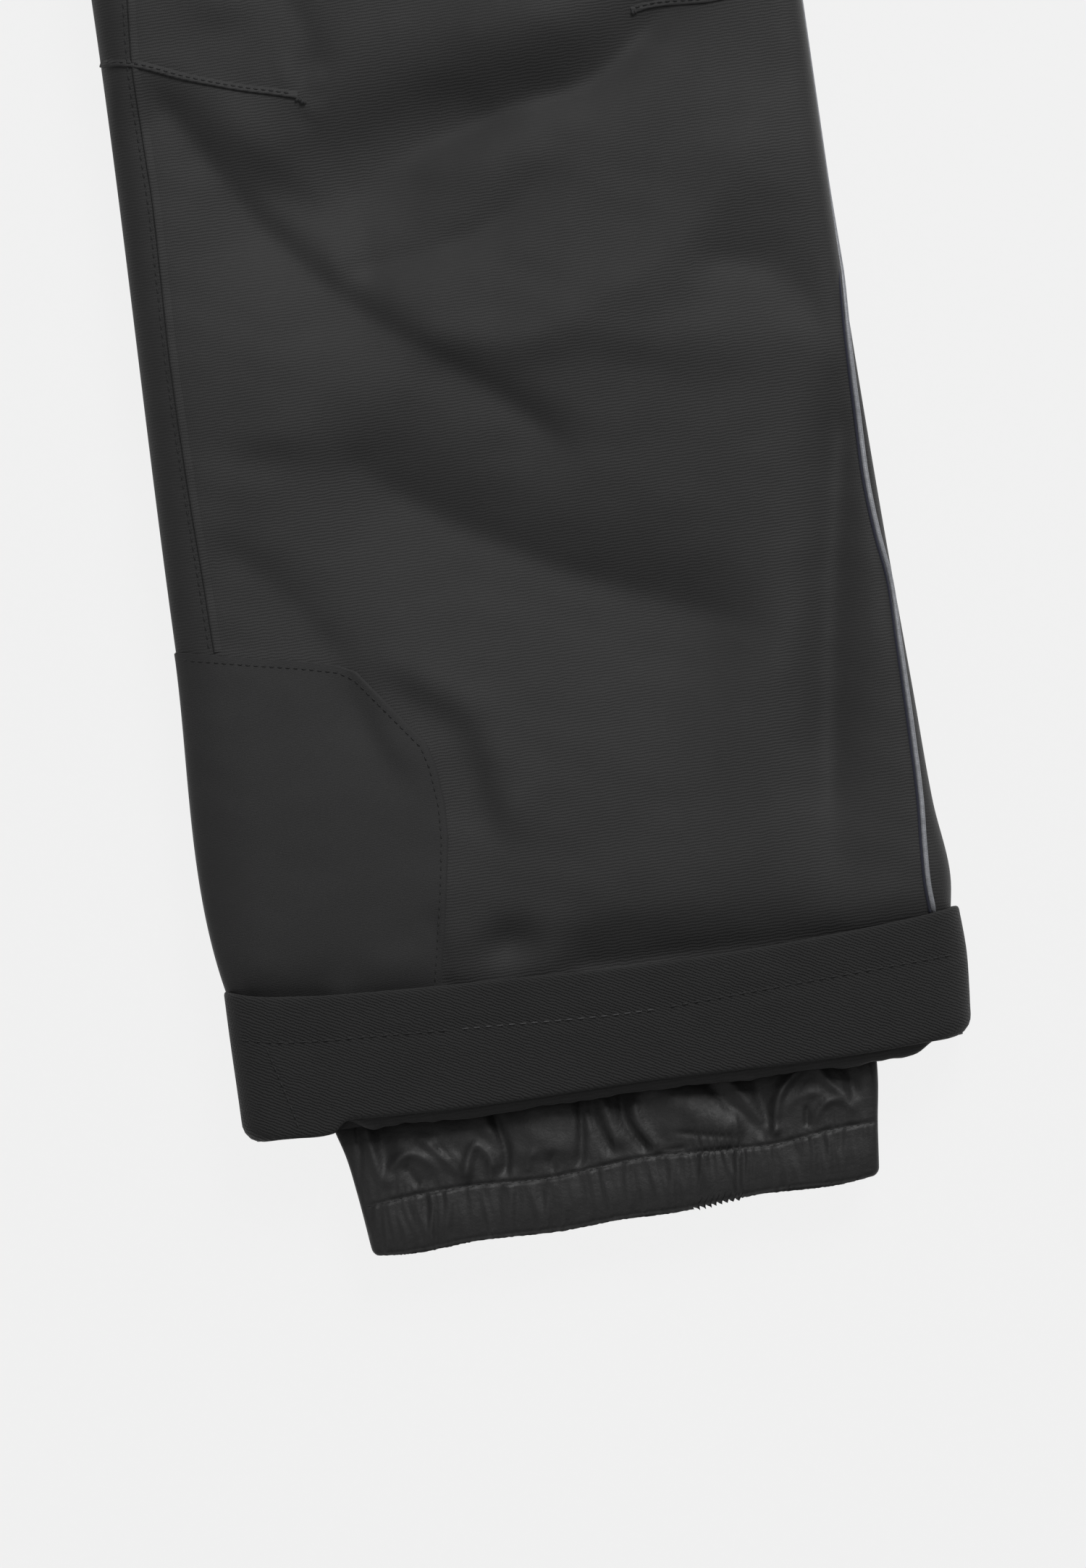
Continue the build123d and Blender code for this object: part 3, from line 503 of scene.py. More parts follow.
OTHER_STEPS = (
    ([(-86, 288), (-50, 262), (-10, 240), (34, 226)], 1.7, 4.0, 24, 0.25, 0.25),
    ([(-60, 190), (-20, 168), (30, 150), (70, 118)], 2.2, 8.0, 28, 0.25, 0.25),
    ([(80, 250), (40, 214), (0, 196)], -1.5, 6.0, 24, 0.25, 0.3),
    ([(-90, 140), (-58, 110), (-36, 70)], 1.6, 5.0, 22, 0.2, 0.25),
    ([(20, 318), (-20, 300), (-44, 276)], 2.0, 7.0, 26, 0.2, 0.3),
)
OTHER_RIDGES = (
    ([(84, 220), (80, 140), (70, 60)], 1.3, 7.0, 0.2, 0.2),
    ([(-30, 50), (10, 46), (60, 40)], -1.6, 8.0, 0.2, 0.3),
)


def summed(u, v, *tables):
    """Heights from tables of folds, each given with the function that shapes its rows."""
    return sum(shape(u, v, *row) for shape, rows in tables for row in rows)


def front_relief(u, v):
    """Folds of the lower leg's front, as heights in mm."""
    h = summed(
        u, v, (crease, FRONT_CREASES), (step_fold, FRONT_STEPS), (lean, FRONT_LEANS), (ridge, FRONT_RIDGES),
        (swell, FRONT_SWELLS),
    )
    return h + 0.40 * grain(u, v, 48, 3) + 0.14 * grain(u, v, 17, 4) + 0.04 * grain(u, v, 7, 5)


def other_relief(u, v):
    """Folds of the leg that the first one doesn't share: the other leg and the backs."""
    h = summed(u, v, (step_fold, OTHER_STEPS), (ridge, OTHER_RIDGES))
    return h + 0.45 * grain(u, v, 48, 13) + 0.16 * grain(u, v, 17, 14) + 0.05 * grain(u, v, 7, 15)


EDGE_ROLL = 40  # the higher, the flatter the garment lies right up to its pressed edges


def leg_section(u, v):
    """How far round towards the edge a place is: 1 over the middle, 0 at either edge."""
    low, high = curve(INNER_EDGE, v), curve(OUTER_EDGE, v)
    x = np.clip((2 * u - low - high) / (high - low), -1, 1)
    return np.sqrt(1 - np.abs(x) ** EDGE_ROLL)


LEG_MIDDLE = [(-60, 12.0), (0, 12.6), (46, 12.4), (80, 11.4), (110, 11.2), (328, 11.0), (420, 11.6)]
LEG_TOP = [
    (-60, 20.5), (0, 19.6), (30, 19.6), (36, 20.3), (44, 22.2), (52, 23.8), (60, 24.4), (80, 24.6),
    (200, 24.4), (328, 24.6), (420, 26.0),
]
LEG_UNDER = [(-60, 4.0), (0, 4.0), (36, 3.6), (54, 1.2), (68, 0.6), (90, 0.5), (420, 0.5)]


def leg_top(u, v, relief):
    """Height of the leg's front cloth."""
    section = leg_section(u, v)
    middle = curve(LEG_MIDDLE, v)
    inside_cuff = smooth_step((v - 28) / 10)
    folds = relief(u, v) * np.clip(section * 1.25 - 0.25, 0, 1) * inside_cuff
    return middle + (curve(LEG_TOP, v) - middle) * section + folds


def leg_under(u, v):
    """Height of the leg's back cloth, which lies on the floor."""
    section = leg_section(u, v)
    middle = curve(LEG_MIDDLE, v)
    lift = np.clip(0.8 * grain(u, v, 40, 23) + 0.4, 0, 2) * np.clip(v / 120, 0, 1)
    return middle + (curve(LEG_UNDER, v) + lift - middle) * section


# ---------------------------------------------------------------- mesh building
def make_object(name, vertices, faces, uvs=None, material=None, smooth=True):
    """A mesh piece from points in mm. uvs are the cloth's own coordinates in mm, one per vertex."""
    mesh = bpy.data.meshes.new(name)
    mesh.from_pydata((np.asarray(vertices) * MM).tolist(), [], faces)
    if uvs is not None:
        layer = mesh.uv_layers.new(name="cloth")
        loops = np.empty(len(mesh.loops), int)
        mesh.loops.foreach_get("vertex_index", loops)
        layer.data.foreach_set("uv", np.asarray(uvs, float)[loops].ravel())
    if smooth:
        mesh.shade_smooth()
    if material is not None:
        mesh.materials.append(material)
    piece = bpy.data.objects.new(name, mesh)
    bpy.context.scene.collection.objects.link(piece)
    return piece


def grid_faces(rows, columns, closed=False, start=0):
    """Faces of a grid of vertices numbered along each row."""
    faces = []
    last = columns if closed else columns - 1
    for j in range(rows - 1):
        for i in range(last):
            k = (i + 1) % columns
            a, b = start + j * columns + i, start + j * columns + k
            faces.append((a, b, b + columns, a + columns))
    return faces


def grid_object(name, points, uvs, material, closed=False, flip=False):
    """A sheet from an array of points in mm, rows by columns."""
    rows, columns = points.shape[:2]
    faces = grid_faces(rows, columns, closed)
    if flip:
        faces = [f[::-1] for f in faces]
    return make_object(name, points.reshape(-1, 3), faces, uvs.reshape(-1, 2), material)


def leg_grid(name, side, data, material, closed=False, flip=False):
    """A sheet from rows of (across, up, height) on the leg. A fourth column is the cloth's own weft."""
    x, y = to_row(side, data[:, :, 0], data[:, :, 1])
    points = np.stack([x, y, data[:, :, 2]], axis=2)
    uvs = data[:, :, [3, 1]] if data.shape[2] > 3 else data[:, :, :2]
    return grid_object(name, points, uvs, material, closed, flip)


def solid_grid(name, points, uvs, material, flip=False):
    """A tube from loops of points in mm, closed at both ends."""
    rows, count = points.shape[:2]
    faces = grid_faces(rows, count, closed=True)
    faces.append(tuple(range(count))[::-1])
    faces.append(tuple((rows - 1) * count + k for k in range(count)))
    if flip:
        faces = [f[::-1] for f in faces]
    return make_object(name, points.reshape(-1, 3), faces, np.array(uvs).reshape(-1, 2), material)


def there_and_back(there, back):
    """One loop of values: out along the first and home along the second, whose ends it shares."""
    return np.concatenate([there, back[1:-1][::-1]])


def spaced(pieces):
    """Places along a line from (end, step) pairs: the step used up to each end."""
    places = [pieces[0][0]]
    for end, step in pieces[1:]:
        count = max(1, round(abs(end - places[-1]) / step))
        places += list(np.linspace(places[-1], end, count + 1)[1:])
    return np.array(places)


def leg_columns(v, near, middle):
    """Positions across the leg: close together at its rolled edges, even between them."""
    low, high = curve(INNER_EDGE, v), curve(OUTER_EDGE, v)
    inner = low[:, None] + near[None, :]
    outer = high[:, None] - near[::-1][None, :]
    a, b = inner[:, -1:], outer[:, :1]
    between = a + (b - a) * middle[None, 1:-1]
    return np.concatenate([inner, between, outer], axis=1)


def lower_leg(side_name, side, relief):
    """The leg from mid-thigh to the fold of the hem: one tube of cloth."""
    v = spaced([(0, 0), (60, 2.0), (SPLIT_V, 2.0)])
    near = np.concatenate([[0, 0.25, 0.7, 1.3, 2.1], np.arange(3.2, 16.1, 1.6)])
    middle = np.linspace(0, 1, 96)
    u = leg_columns(v, near, middle)
    vv = np.repeat(v[:, None], u.shape[1], axis=1)
    top = leg_top(u, vv, relief)
    under = leg_under(u, vv)[:, 1:-1][:, ::-1]
    u_all = np.concatenate([u, u[:, 1:-1][:, ::-1]], axis=1)
    v_all = np.repeat(v[:, None], u_all.shape[1], axis=1)
    data = np.stack([u_all, v_all, np.concatenate([top, under], axis=1)], axis=2)
    return leg_grid(f"{side_name}_lower_leg", side, data, SHELL, closed=True, flip=side < 0)


# ---------------------------------------------------------------- scuff guard
GUARD_FRONT = [
    (-111, 150), (-90, 145), (-74, 141.6), (-62.7, 138.7), (-57.2, 135.8), (-39.6, 111.6),
    (-37.6, 104), (-36.7, 92), (-37.3, 82), (-40, 67.5), (-43, 53), (-46, 39), (-49, 20), (-50, 0),
]


GUARD_STITCHES = [
    (-110, 147.6), (-90, 142.8), (-74, 139.3), (-63, 136.4), (-58.4, 133.4), (-41.6, 110.4), (-39.9, 103.5),
    (-39.0, 92), (-39.6, 82), (-42.2, 67), (-45.2, 53), (-48.2, 39), (-50.4, 26),
]


def straight_path(points, step):
    """Points about a step apart along straight runs, keeping every corner."""
    out = [np.array(points[0], float)]
    for a, b in zip(points[:-1], points[1:]):
        a, b = np.array(a, float), np.array(b, float)
        count = max(1, round(np.linalg.norm(b - a) / step))
        out += [a + (b - a) * k / count for k in range(1, count + 1)]
    return np.array(out)


def scuff_guard(side_name, side, relief):
    """The tough panel laid over the inner ankle: front, round the edge, and back."""
    border = straight_path(GUARD_FRONT, 1.7)
    rows = []
    close = [0.0, 0.004, 0.010, 0.018, 0.03]
    ease = np.concatenate([close, np.linspace(0.045, 0.86, 34), np.linspace(0.88, 1, 12)])
    for u_end, v in border:
        edge = float(curve(INNER_EDGE, v))
        v_edge = min(v, 150.0)
        u = u_end + (edge - u_end) * ease
        vv = v + (v_edge - v) * ease
        front = leg_top(u, vv, relief)
        back = leg_under(u, vv)
        u2, v2 = np.concatenate([u, u[::-1][1:]]), np.concatenate([vv, vv[::-1][1:]])
        z2 = np.concatenate([front, back[::-1][1:]])
        du, dz = np.gradient(u2), np.gradient(z2)
        size = np.hypot(du, dz) + 1e-9
        lift = np.full(len(u2), 0.55)
        rim = [-0.35, 0.15, 0.45]
        lift[:3], lift[-3:] = rim, rim[::-1]
        u3, z3 = u2 + lift * dz / size, z2 - lift * du / size
        rows.append(np.stack([u3, v2, np.maximum(z3, 0.05), u2], axis=1))
    data = np.array(rows)
    data[0, :, 2] -= 0.45
    return leg_grid(f"{side_name}_scuff_guard_cloth", side, data, GUARD, flip=side < 0)


# ---------------------------------------------------------------- turned-up hem
CUFF_LEFT = [(0, -112.6), (12, -112.4), (32, -112.2), (50, -111.8)]
CUFF_RIGHT = [(0, 110.3), (6, 110.5), (13, 111.2), (24, 112.1), (40, 111.7)]
CUFF_CORNER = 6.5  # radius of the hem's lower corners
CUFF_TOP = [
    (-112, 46.3), (-104, 44.0), (-89, 41.7), (-60, 39.3), (-25, 37.5), (12, 35.7), (41, 35.4),
    (70, 35.9), (89, 36.7), (104, 37.8), (112, 38.6),
]
CUFF_FRONT_FOLD = [
    (-112, -0.2), (-106, -0.2), (-86, 0.0), (-80, 2.6), (-74, 2.3), (-60, 1.5), (-40, 0.8), (12, 0.6),
    (64, -0.9), (84, -1.0), (104, -0.6), (112, -0.6),
]
CUFF_BACK_FOLD = [(-112, -0.2), (-60, -0.8), (60, -0.8), (104, -0.6), (112, -0.6)]
CUFF_MIDDLE, CUFF_HIGH, CUFF_LOW = 12.6, 24.9, 0.35
CUFF_ROLL = 26  # how flat the hem lies right up to its folded edges
HEM_LIP = (  # the lip's rolled edge seen from its end: (up from the hem's fold, height)
    (6.0, 21.6), (2.2, 21.6), (0.2, 21.5), (-1.2, 21.3), (-2.2, 21.0), (-2.9, 20.3), (-3.1, 19.4),
    (-2.6, 18.6), (0.2, 18.1), (5.0, 18.3),
)


def cuff_sides(v):
    """The hem's left and right edges, rounded in at its lower corners."""
    below = np.clip(CUFF_CORNER - 0.6 - np.asarray(v, float), 0, CUFF_CORNER * 0.995)
    inset = CUFF_CORNER - np.sqrt(CUFF_CORNER**2 - below**2)
    return curve(CUFF_LEFT, v) + inset, curve(CUFF_RIGHT, v) - inset


def cuff_height(u, v, front=True):
    """Height of the turned-up hem's outer face."""
    low, high = cuff_sides(v)
    x = np.clip((2 * u - low - high) / (high - low), -1, 1)
    section = np.sqrt(1 - np.abs(x) ** CUFF_ROLL)
    if not front:
        return CUFF_MIDDLE + (CUFF_LOW - CUFF_MIDDLE) * section
    waves = 0.28 * grain(u, v, 60, 31) + 0.12 * grain(u, v, 21, 32) + 0.03 * grain(u, v, 5, 33)
    waves = waves + ridge(u, v, [(-24, 40), (-23, 26), (-20, 10)], 0.5, 6.0, 0.1, 0.4)
    press = -0.25 * np.exp(-(((v - curve(CUFF_STITCH, u)) / 2.2) ** 2))
    return CUFF_MIDDLE + (CUFF_HIGH - CUFF_MIDDLE) * section + (waves + press) * section**2


CUFF_STITCH = [(-112, 32.3), (-100, 29.4), (-70, 26.6), (-36, 24.3), (14, 21.7), (46, 22.6), (112, 24.5)]


def cuff_loop(count_top):
    """Places round the cuff from the left edge over the front and back again: (x, front or back)."""
    inner = np.sin(np.linspace(-math.pi / 2, math.pi / 2, count_top))
    even = np.linspace(-1, 1, count_top)
    x = 0.55 * inner + 0.45 * even
    return np.concatenate([x, x[::-1][1:-1]]), np.arange(2 * count_top - 2) < count_top


def cuff_profile():
    """The rolled strip of cloth seen from its end: (from 0 at the fold to 1 at the top, mm up, depth)."""
    path = [(0.0, 5.0, 2.9), (0.0, 1.8, 2.6), (0.0, 0.5, 1.9), (0.0, 0.0, 1.0), (0.0, 0.35, 0.3), (0.0, 1.3, 0.0)]
    path += [(k / 22, 1.3 - 2.5 * k / 22, 0.0) for k in range(1, 22)]
    over = [(-1.1, 0.0), (-0.35, 0.2), (0.0, 0.75), (-0.3, 1.35), (-1.3, 1.6), (-9.0, 1.7)]
    return path + [(1.0, up, depth) for up, depth in over]


def cuff(side_name, side):
    """The turned-up hem, showing the trousers' inner facing."""
    x, front = cuff_loop(110)
    low, high = -112.0, 112.0
    u_flat = (low + high) / 2 + x * (high - low) / 2
    fold = np.where(front, curve(CUFF_FRONT_FOLD, u_flat), curve(CUFF_BACK_FOLD, u_flat))
    top = curve(CUFF_TOP, u_flat)
    rows = []
    for share, up, depth in cuff_profile():
        v = fold + (top - fold) * share + up
        left, right = cuff_sides(v)
        u = (left + right) / 2 + x * (right - left) / 2
        z = np.where(front, cuff_height(u, v), cuff_height(u, v, False))
        du = (np.roll(u, -1) - np.roll(u, 1)) / 2
        dz = (np.roll(z, -1) - np.roll(z, 1)) / 2
        size = np.hypot(du, dz) + 1e-9
        inward_u, inward_z = dz / size, -du / size
        rows.append(np.stack([u + depth * inward_u, v, z + depth * inward_z, u + depth], axis=1))
    data = np.array(rows)
    data[:, :, 2] = np.maximum(data[:, :, 2], 0.05)
    return leg_grid(f"{side_name}_turned_hem", side, data, TWILL, closed=True, flip=side > 0)


def hem_bridge(side_name, side):
    """The hem's own cloth doubled inside it, which runs out when the hem is turned down."""
    x, front = cuff_loop(60)
    rows = []
    for v in np.linspace(34, 4, 12):
        left, right = cuff_sides(np.full(len(x), v))
        u = (left + right) / 2 + x * (right - left - 5.0) / 2
        section = np.sqrt(1 - np.abs(x) ** CUFF_ROLL)
        z = CUFF_MIDDLE + (np.where(front, 22.2, 2.9) - CUFF_MIDDLE) * section
        rows.append(np.stack([u, np.full(len(x), v), z], axis=1))
    return leg_grid(f"{side_name}_hem_inner_sleeve", side, np.array(rows), TWILL, closed=True, flip=side > 0)


def hem_lip(side_name, side):
    """The outer cloth's rolled edge, just showing under the turned-up hem's fold."""
    u = np.arange(-84, 100.5, 1.2)
    base = curve(CUFF_FRONT_FOLD, u)
    wave = 0.45 * grain(u, u * 0, 19, 41) + 0.2 * grain(u, u * 0, 6, 42)
    rows = []
    for up, z in HEM_LIP:
        reach = np.where(np.array(up) < 0, 1.0 + 0.4 * wave, 1.0)
        ends = taper(np.linspace(0, 1, len(u)), 0.06, 0.05)
        v = base + 0.6 + (up * reach - 0.6) * np.where(up < 0, ends, 1.0)
        rows.append(np.stack([u, v, np.full(len(u), z) + 0.15 * wave], axis=1))
    return leg_grid(f"{side_name}_hem_lip", side, np.array(rows), SHELL, flip=side < 0)


# ---------------------------------------------------------------- gaiter
GAITER_LEFT = [(-42, -78.6), (-37, -79.4), (-30, -80.1), (-20, -81.2), (-8, -83.0), (0, -85.2), (60, -90)]
GAITER_RIGHT = [(-42, 75.2), (-37, 75.9), (-22, 77.8), (-10, 79.7), (0, 80.6), (60, 86)]
GAITER_CORNER = 2.6
GAITER_ROLL = 16  # how flat the gaiter lies towards its edges
GAITER_SEAM = [
    (-82, -24.6), (-64, -23.1), (-48, -22.8), (-25, -24.0), (8, -22.3), (30, -23.6), (47, -24.2), (62, -22.6),
    (80, -22.2),
]
GAITER_END = [
    (-82, -39.2), (-77, -40.0), (-46, -39.7), (-22, -40.6), (0, -39.9), (14, -40.3), (42, -38.7), (73, -39.2),
    (80, -38.4),
]
GAITER_FOLDS = (
    # points, height, width, ease in, ease out
    ([(-78, 2), (-78.5, -8), (-80.5, -20)], -0.9, 0.9, 0.1, 0.2),
    ([(-76, 4), (-75, -6), (-73, -19)], 1.2, 1.6, 0.1, 0.2),
    ([(-70, 4), (-71, -8), (-71, -19)], -2.0, 3.0, 0.1, 0.2),
    ([(-72.5, -21), (-69, -13), (-64, -10.5), (-59, -13), (-56, -19)], 1.7, 1.7, 0.2, 0.3),
    ([(-66, -13), (-62, -21)], -1.1, 1.3, 0.3, 0.2),
    ([(-62, -5), (-56, -10), (-51, -15), (-46.5, -22)], 1.6, 1.8, 0.3, 0.15),
    ([(-57, -7.5), (-53, -12), (-48.5, -19)], -1.5, 1.2, 0.3, 0.3),
    ([(-47.5, -21), (-46, -14), (-43.5, -11), (-40.5, -14), (-38.5, -21.5)], 1.7, 1.6, 0.2, 0.2),
    ([(-38, 3), (-36, -6), (-34.6, -14), (-36.6, -22.5)], -2.0, 1.4, 0.1, 0.15),
    ([(-41, 3), (-39, -7), (-36, -14)], 1.2, 2.2, 0.1, 0.5),
    ([(-22, 6), (-22, -6), (-23, -20)], 1.6, 8.0, 0.1, 0.2),
    ([(-29.5, -22), (-28, -17), (-25, -14)], 0.9, 1.2, 0.2, 0.4),
    ([(-20.5, -23), (-21, -18), (-18.5, -16)], -0.8, 1.1, 0.2, 0.4),
    ([(-10.2, 3), (-11, -10), (-13.4, -24)], -2.1, 1.3, 0.1, 0.15),
    ([(-7.5, 3), (-7, -8), (-2, -21)], -1.8, 1.7, 0.1, 0.15),
    ([(-4.6, 2), (-3, -8), (-0.5, -20)], 1.7, 1.7, 0.1, 0.2),
    ([(3.0, 3), (2.2, -10), (9, -22)], -2.2, 1.5, 0.1, 0.15),
    ([(5.5, -3), (6.0, -11), (12.0, -22)], 1.5, 1.5, 0.2, 0.2),
    ([(10, 3), (21, -9), (38, -21)], 2.2, 6.0, 0.1, 0.2),
    ([(12, -21), (21, -21.6)], -0.8, 0.9, 0.3, 0.3),
    ([(14, -15.5), (26, -18.5), (37, -20.6)], -0.8, 1.0, 0.3, 0.3),
    ([(24, 3), (33, -9), (45.5, -23)], -1.4, 2.2, 0.1, 0.15),
    ([(31, 3), (38, -8), (45.8, -23)], 0.9, 1.8, 0.1, 0.2),
    ([(42, 4), (43.5, -8), (46, -21)], -2.2, 2.6, 0.1, 0.15),
    ([(46.6, -23), (47.5, -15), (50, -9), (55, -4.2), (62, -1)], 2.3, 1.5, 0.12, 0.2),
    ([(49.8, -18), (53, -12), (59, -10.5), (65, -12)], 0.9, 1.8, 0.3, 0.3),
    ([(57.2, -13.5), (56.4, -21)], -1.6, 0.8, 0.3, 0.2),
    ([(61, 1), (64.5, -8), (71.5, -14.8)], 1.7, 1.5, 0.1, 0.2),
    ([(58.5, -21), (61, -15.5), (66, -13.5), (70, -16), (71.5, -20)], 1.3, 1.4, 0.2, 0.2),
    ([(68, 3), (71.5, -7), (72.3, -16)], -2.2, 2.4, 0.1, 0.3),
    ([(75.5, 3), (78, -6), (78.6, -14)], 1.4, 1.3, 0.1, 0.4),
)


def gaiter_sides(v):
    """The gaiter's left and right edges, rounded in at its lower corners."""
    insets = []
    for end in (40.0, 38.6):
        below = np.clip(GAITER_CORNER - end - np.asarray(v, float), 0, GAITER_CORNER * 0.99)
        insets.append(GAITER_CORNER - np.sqrt(GAITER_CORNER**2 - below**2))
    return curve(GAITER_LEFT, v) + insets[0], curve(GAITER_RIGHT, v) - insets[1]


def gaiter_gathers(u, v, seed):
    """Puffs of cloth crowded along a line of stitching, narrower and sharper close to it."""
    rng = random.Random(seed)
    h = np.zeros(np.shape(u))
    at = -84.0
    while at < 86:
        wide = rng.uniform(1.5, 3.4)
        lean = rng.uniform(-0.16, 0.16)
        long = rng.uniform(2.5, 7.0)
        d = u - at - lean * v
        h += rng.uniform(0.5, 1.0) * np.exp(-((d / (0.36 * wide)) ** 2)) * np.exp(-((v / long) ** 2))
        at += wide
    return h


def gaiter_band(u, v, seed):
    """Upright gathers of the elastic channel, running from its seam to its lower edge."""
    rng = random.Random(seed)
    h = np.zeros(np.shape(u))
    at = -82.0
    while at < 82:
        wide = rng.uniform(1.7, 4.6)
        lean = rng.uniform(-0.14, 0.2)
        bend = rng.uniform(-0.8, 0.8)
        d = u - at - lean * (v + 31) - bend * np.sin((v + 31) * 0.3)
        share = np.clip((v + 40) / 17, 0, 1)
        grows = rng.choice(((1.0, 1.0), (1.0, 0.25), (0.3, 1.0), (0.8, 0.8)))
        height = rng.uniform(0.45, 1.15) * (grows[0] * share + grows[1] * (1 - share))
        h += height * np.exp(-((d / (0.34 * wide)) ** 2))
        at += wide * rng.uniform(0.8, 1.05)
    return h


def gaiter_sink(v):
    """How far the gaiter has narrowed towards its top inside the leg, from 0 to 1."""
    return smooth_step((v + 10) / 24)


def gaiter_front(u, v, variety):
    """Height of the gaiter's front cloth, gathered above and inside its elastic channel."""
    low, high = gaiter_sides(v)
    x = np.clip((2 * u - low - high) / (high - low), -1, 1)
    section = np.sqrt(1 - np.abs(x) ** GAITER_ROLL)
    seam = curve(GAITER_SEAM, u)
    above = v - seam
    upper = np.clip(above / 1.4, 0, 1)
    h = np.zeros(np.shape(u))
    for points, height, width, start, end in GAITER_FOLDS:
        shift = [(variety[0] * a + variety[1], b) for a, b in points]
        h += ridge(u, v, shift, height, width, start, end)
    h += gaiter_gathers(u, above, 51 + variety[2])
    h += 0.22 * grain(u, v, 9, 52)
    h = 0.74 * h * upper * np.clip(1 - (v - 8) / 30, 0.15, 1)
    lower = gaiter_band(u, v, 61 + variety[2]) + 0.5 * gaiter_gathers(u, above, 63 + variety[2])
    lower = lower * np.clip(-above / 0.9, 0, 1)
    stitch_valley = -0.32 * np.exp(-((above / 0.5) ** 2))
    plump = 1.1 * np.exp(-(((v + 31.5) / 7.5) ** 2)) + 0.8 * np.exp(-(((above - 8) / 7) ** 2))
    lip = -1.6 * np.exp(-((v - curve(GAITER_END, u)) ** 2))
    top = 15.5 + plump + h + lower + stitch_valley + lip - 5.4 * gaiter_sink(v)
    middle = 13.0 - 3.6 * gaiter_sink(v)
    return middle + (top - middle) * section


def gaiter(side_name, side, variety):
    """The snow gaiter: thin shiny cloth hanging out of the leg, with its elastic hem."""
    share = spaced([(0, 0), (20, 0.5), (40, 0.5), (58, 1.0), (100, 4.0)])
    x = 0.35 * np.sin(np.linspace(-math.pi / 2, math.pi / 2, 215)) + 0.65 * np.linspace(-1, 1, 215)
    x = np.sort(np.concatenate([x[(x < 0.26) | (x > 0.5)], np.linspace(0.262, 0.498, 60)]))
    rows_front, rows_back = [], []
    u_flat = x * 80.0
    end = curve(GAITER_END, u_flat)
    rng = random.Random(77)
    saw = np.array([rng.uniform(-0.1, 0.1) for _ in x])
    teeth = ((u_flat - 22) / 1.9) % 1.0
    busy = smooth_step((u_flat - 21) / 2) * smooth_step((39 - u_flat) / 2)
    end = end + saw + (0.5 - teeth) * 1.9 * busy
    for s in share:
        v = end + s if s < 1.5 else end + (s - 1.5) * (1 + (-40 - end) / 98.5) + 1.5
        left, right = gaiter_sides(v)
        u = (left + right) / 2 + x * (right - left) / 2
        rows_front.append(np.stack([u, v, gaiter_front(u, v, variety)], axis=1))
        section = np.sqrt(1 - np.abs(x) ** GAITER_ROLL)
        low = 9.0 - 1.2 * np.exp(-(((v + 31.5) / 9) ** 2)) + 0.5 * grain(u, v, 7, 71) - 1.8 * gaiter_sink(v)
        middle = 13.0 - 3.6 * gaiter_sink(v)
        rows_back.append(np.stack([u, v, middle + (low - middle) * section], axis=1)[1:-1][::-1])
    data = np.concatenate([np.array(rows_front), np.array(rows_back)], axis=1)
    return leg_grid(f"{side_name}_gaiter_cloth", side, data, GAITER, closed=True, flip=side < 0)


# ---------------------------------------------------------------- seams, stitches and piping
def on_cloth(side, u, v, height, lift, frame=to_row):
    """Points in the row frame on a cloth surface, raised off it."""
    e = 0.4
    z = height(u, v)
    slope_u = (height(u + e, v) - height(u - e, v)) / (2 * e)
    slope_v = (height(u, v + e) - height(u, v - e)) / (2 * e)
    slope_u, slope_v = np.clip(slope_u, -3, 3), np.clip(slope_v, -3, 3)
    size = np.sqrt(1 + slope_u**2 + slope_v**2)
    u2, v2, z2 = u - lift * slope_u / size, v - lift * slope_v / size, z + lift / size
    x, y = frame(side, u2, v2)
    return np.stack([x, y, z2], axis=-1)


def seam_strip(name, side, points, height, material, width=2.4, rise=0.5, step=1.5, smooth=True, frame=to_row):
    """A turned seam: cloth rising to a folded edge along the path and dropping off on its right."""
    path = smooth_path(points, int(path_length(points) / step) + 2) if smooth else straight_path(points, step)
    along = np.gradient(path, axis=0)
    along /= np.linalg.norm(along, axis=1)[:, None]
    normal = np.stack([-along[:, 1], along[:, 0]], axis=1)
    rows, uvs = [], []
    for offset, lift in ((1.0, -0.12), (0.62, 0.45), (0.3, 0.85), (0.12, 1.0), (0.02, 0.75), (-0.02, -0.35)):
        place = path + normal * offset * width
        rows.append(on_cloth(side, place[:, 0], place[:, 1], height, lift * rise, frame))
        uvs.append(place)
    points3, uv = np.array(rows), np.array(uvs)
    return grid_object(name, points3, uv, material, flip=side > 0)


def path_length(points):
    """The length of a path through points."""
    p = np.array(points, float)
    return float(np.linalg.norm(np.diff(p, axis=0), axis=1).sum())


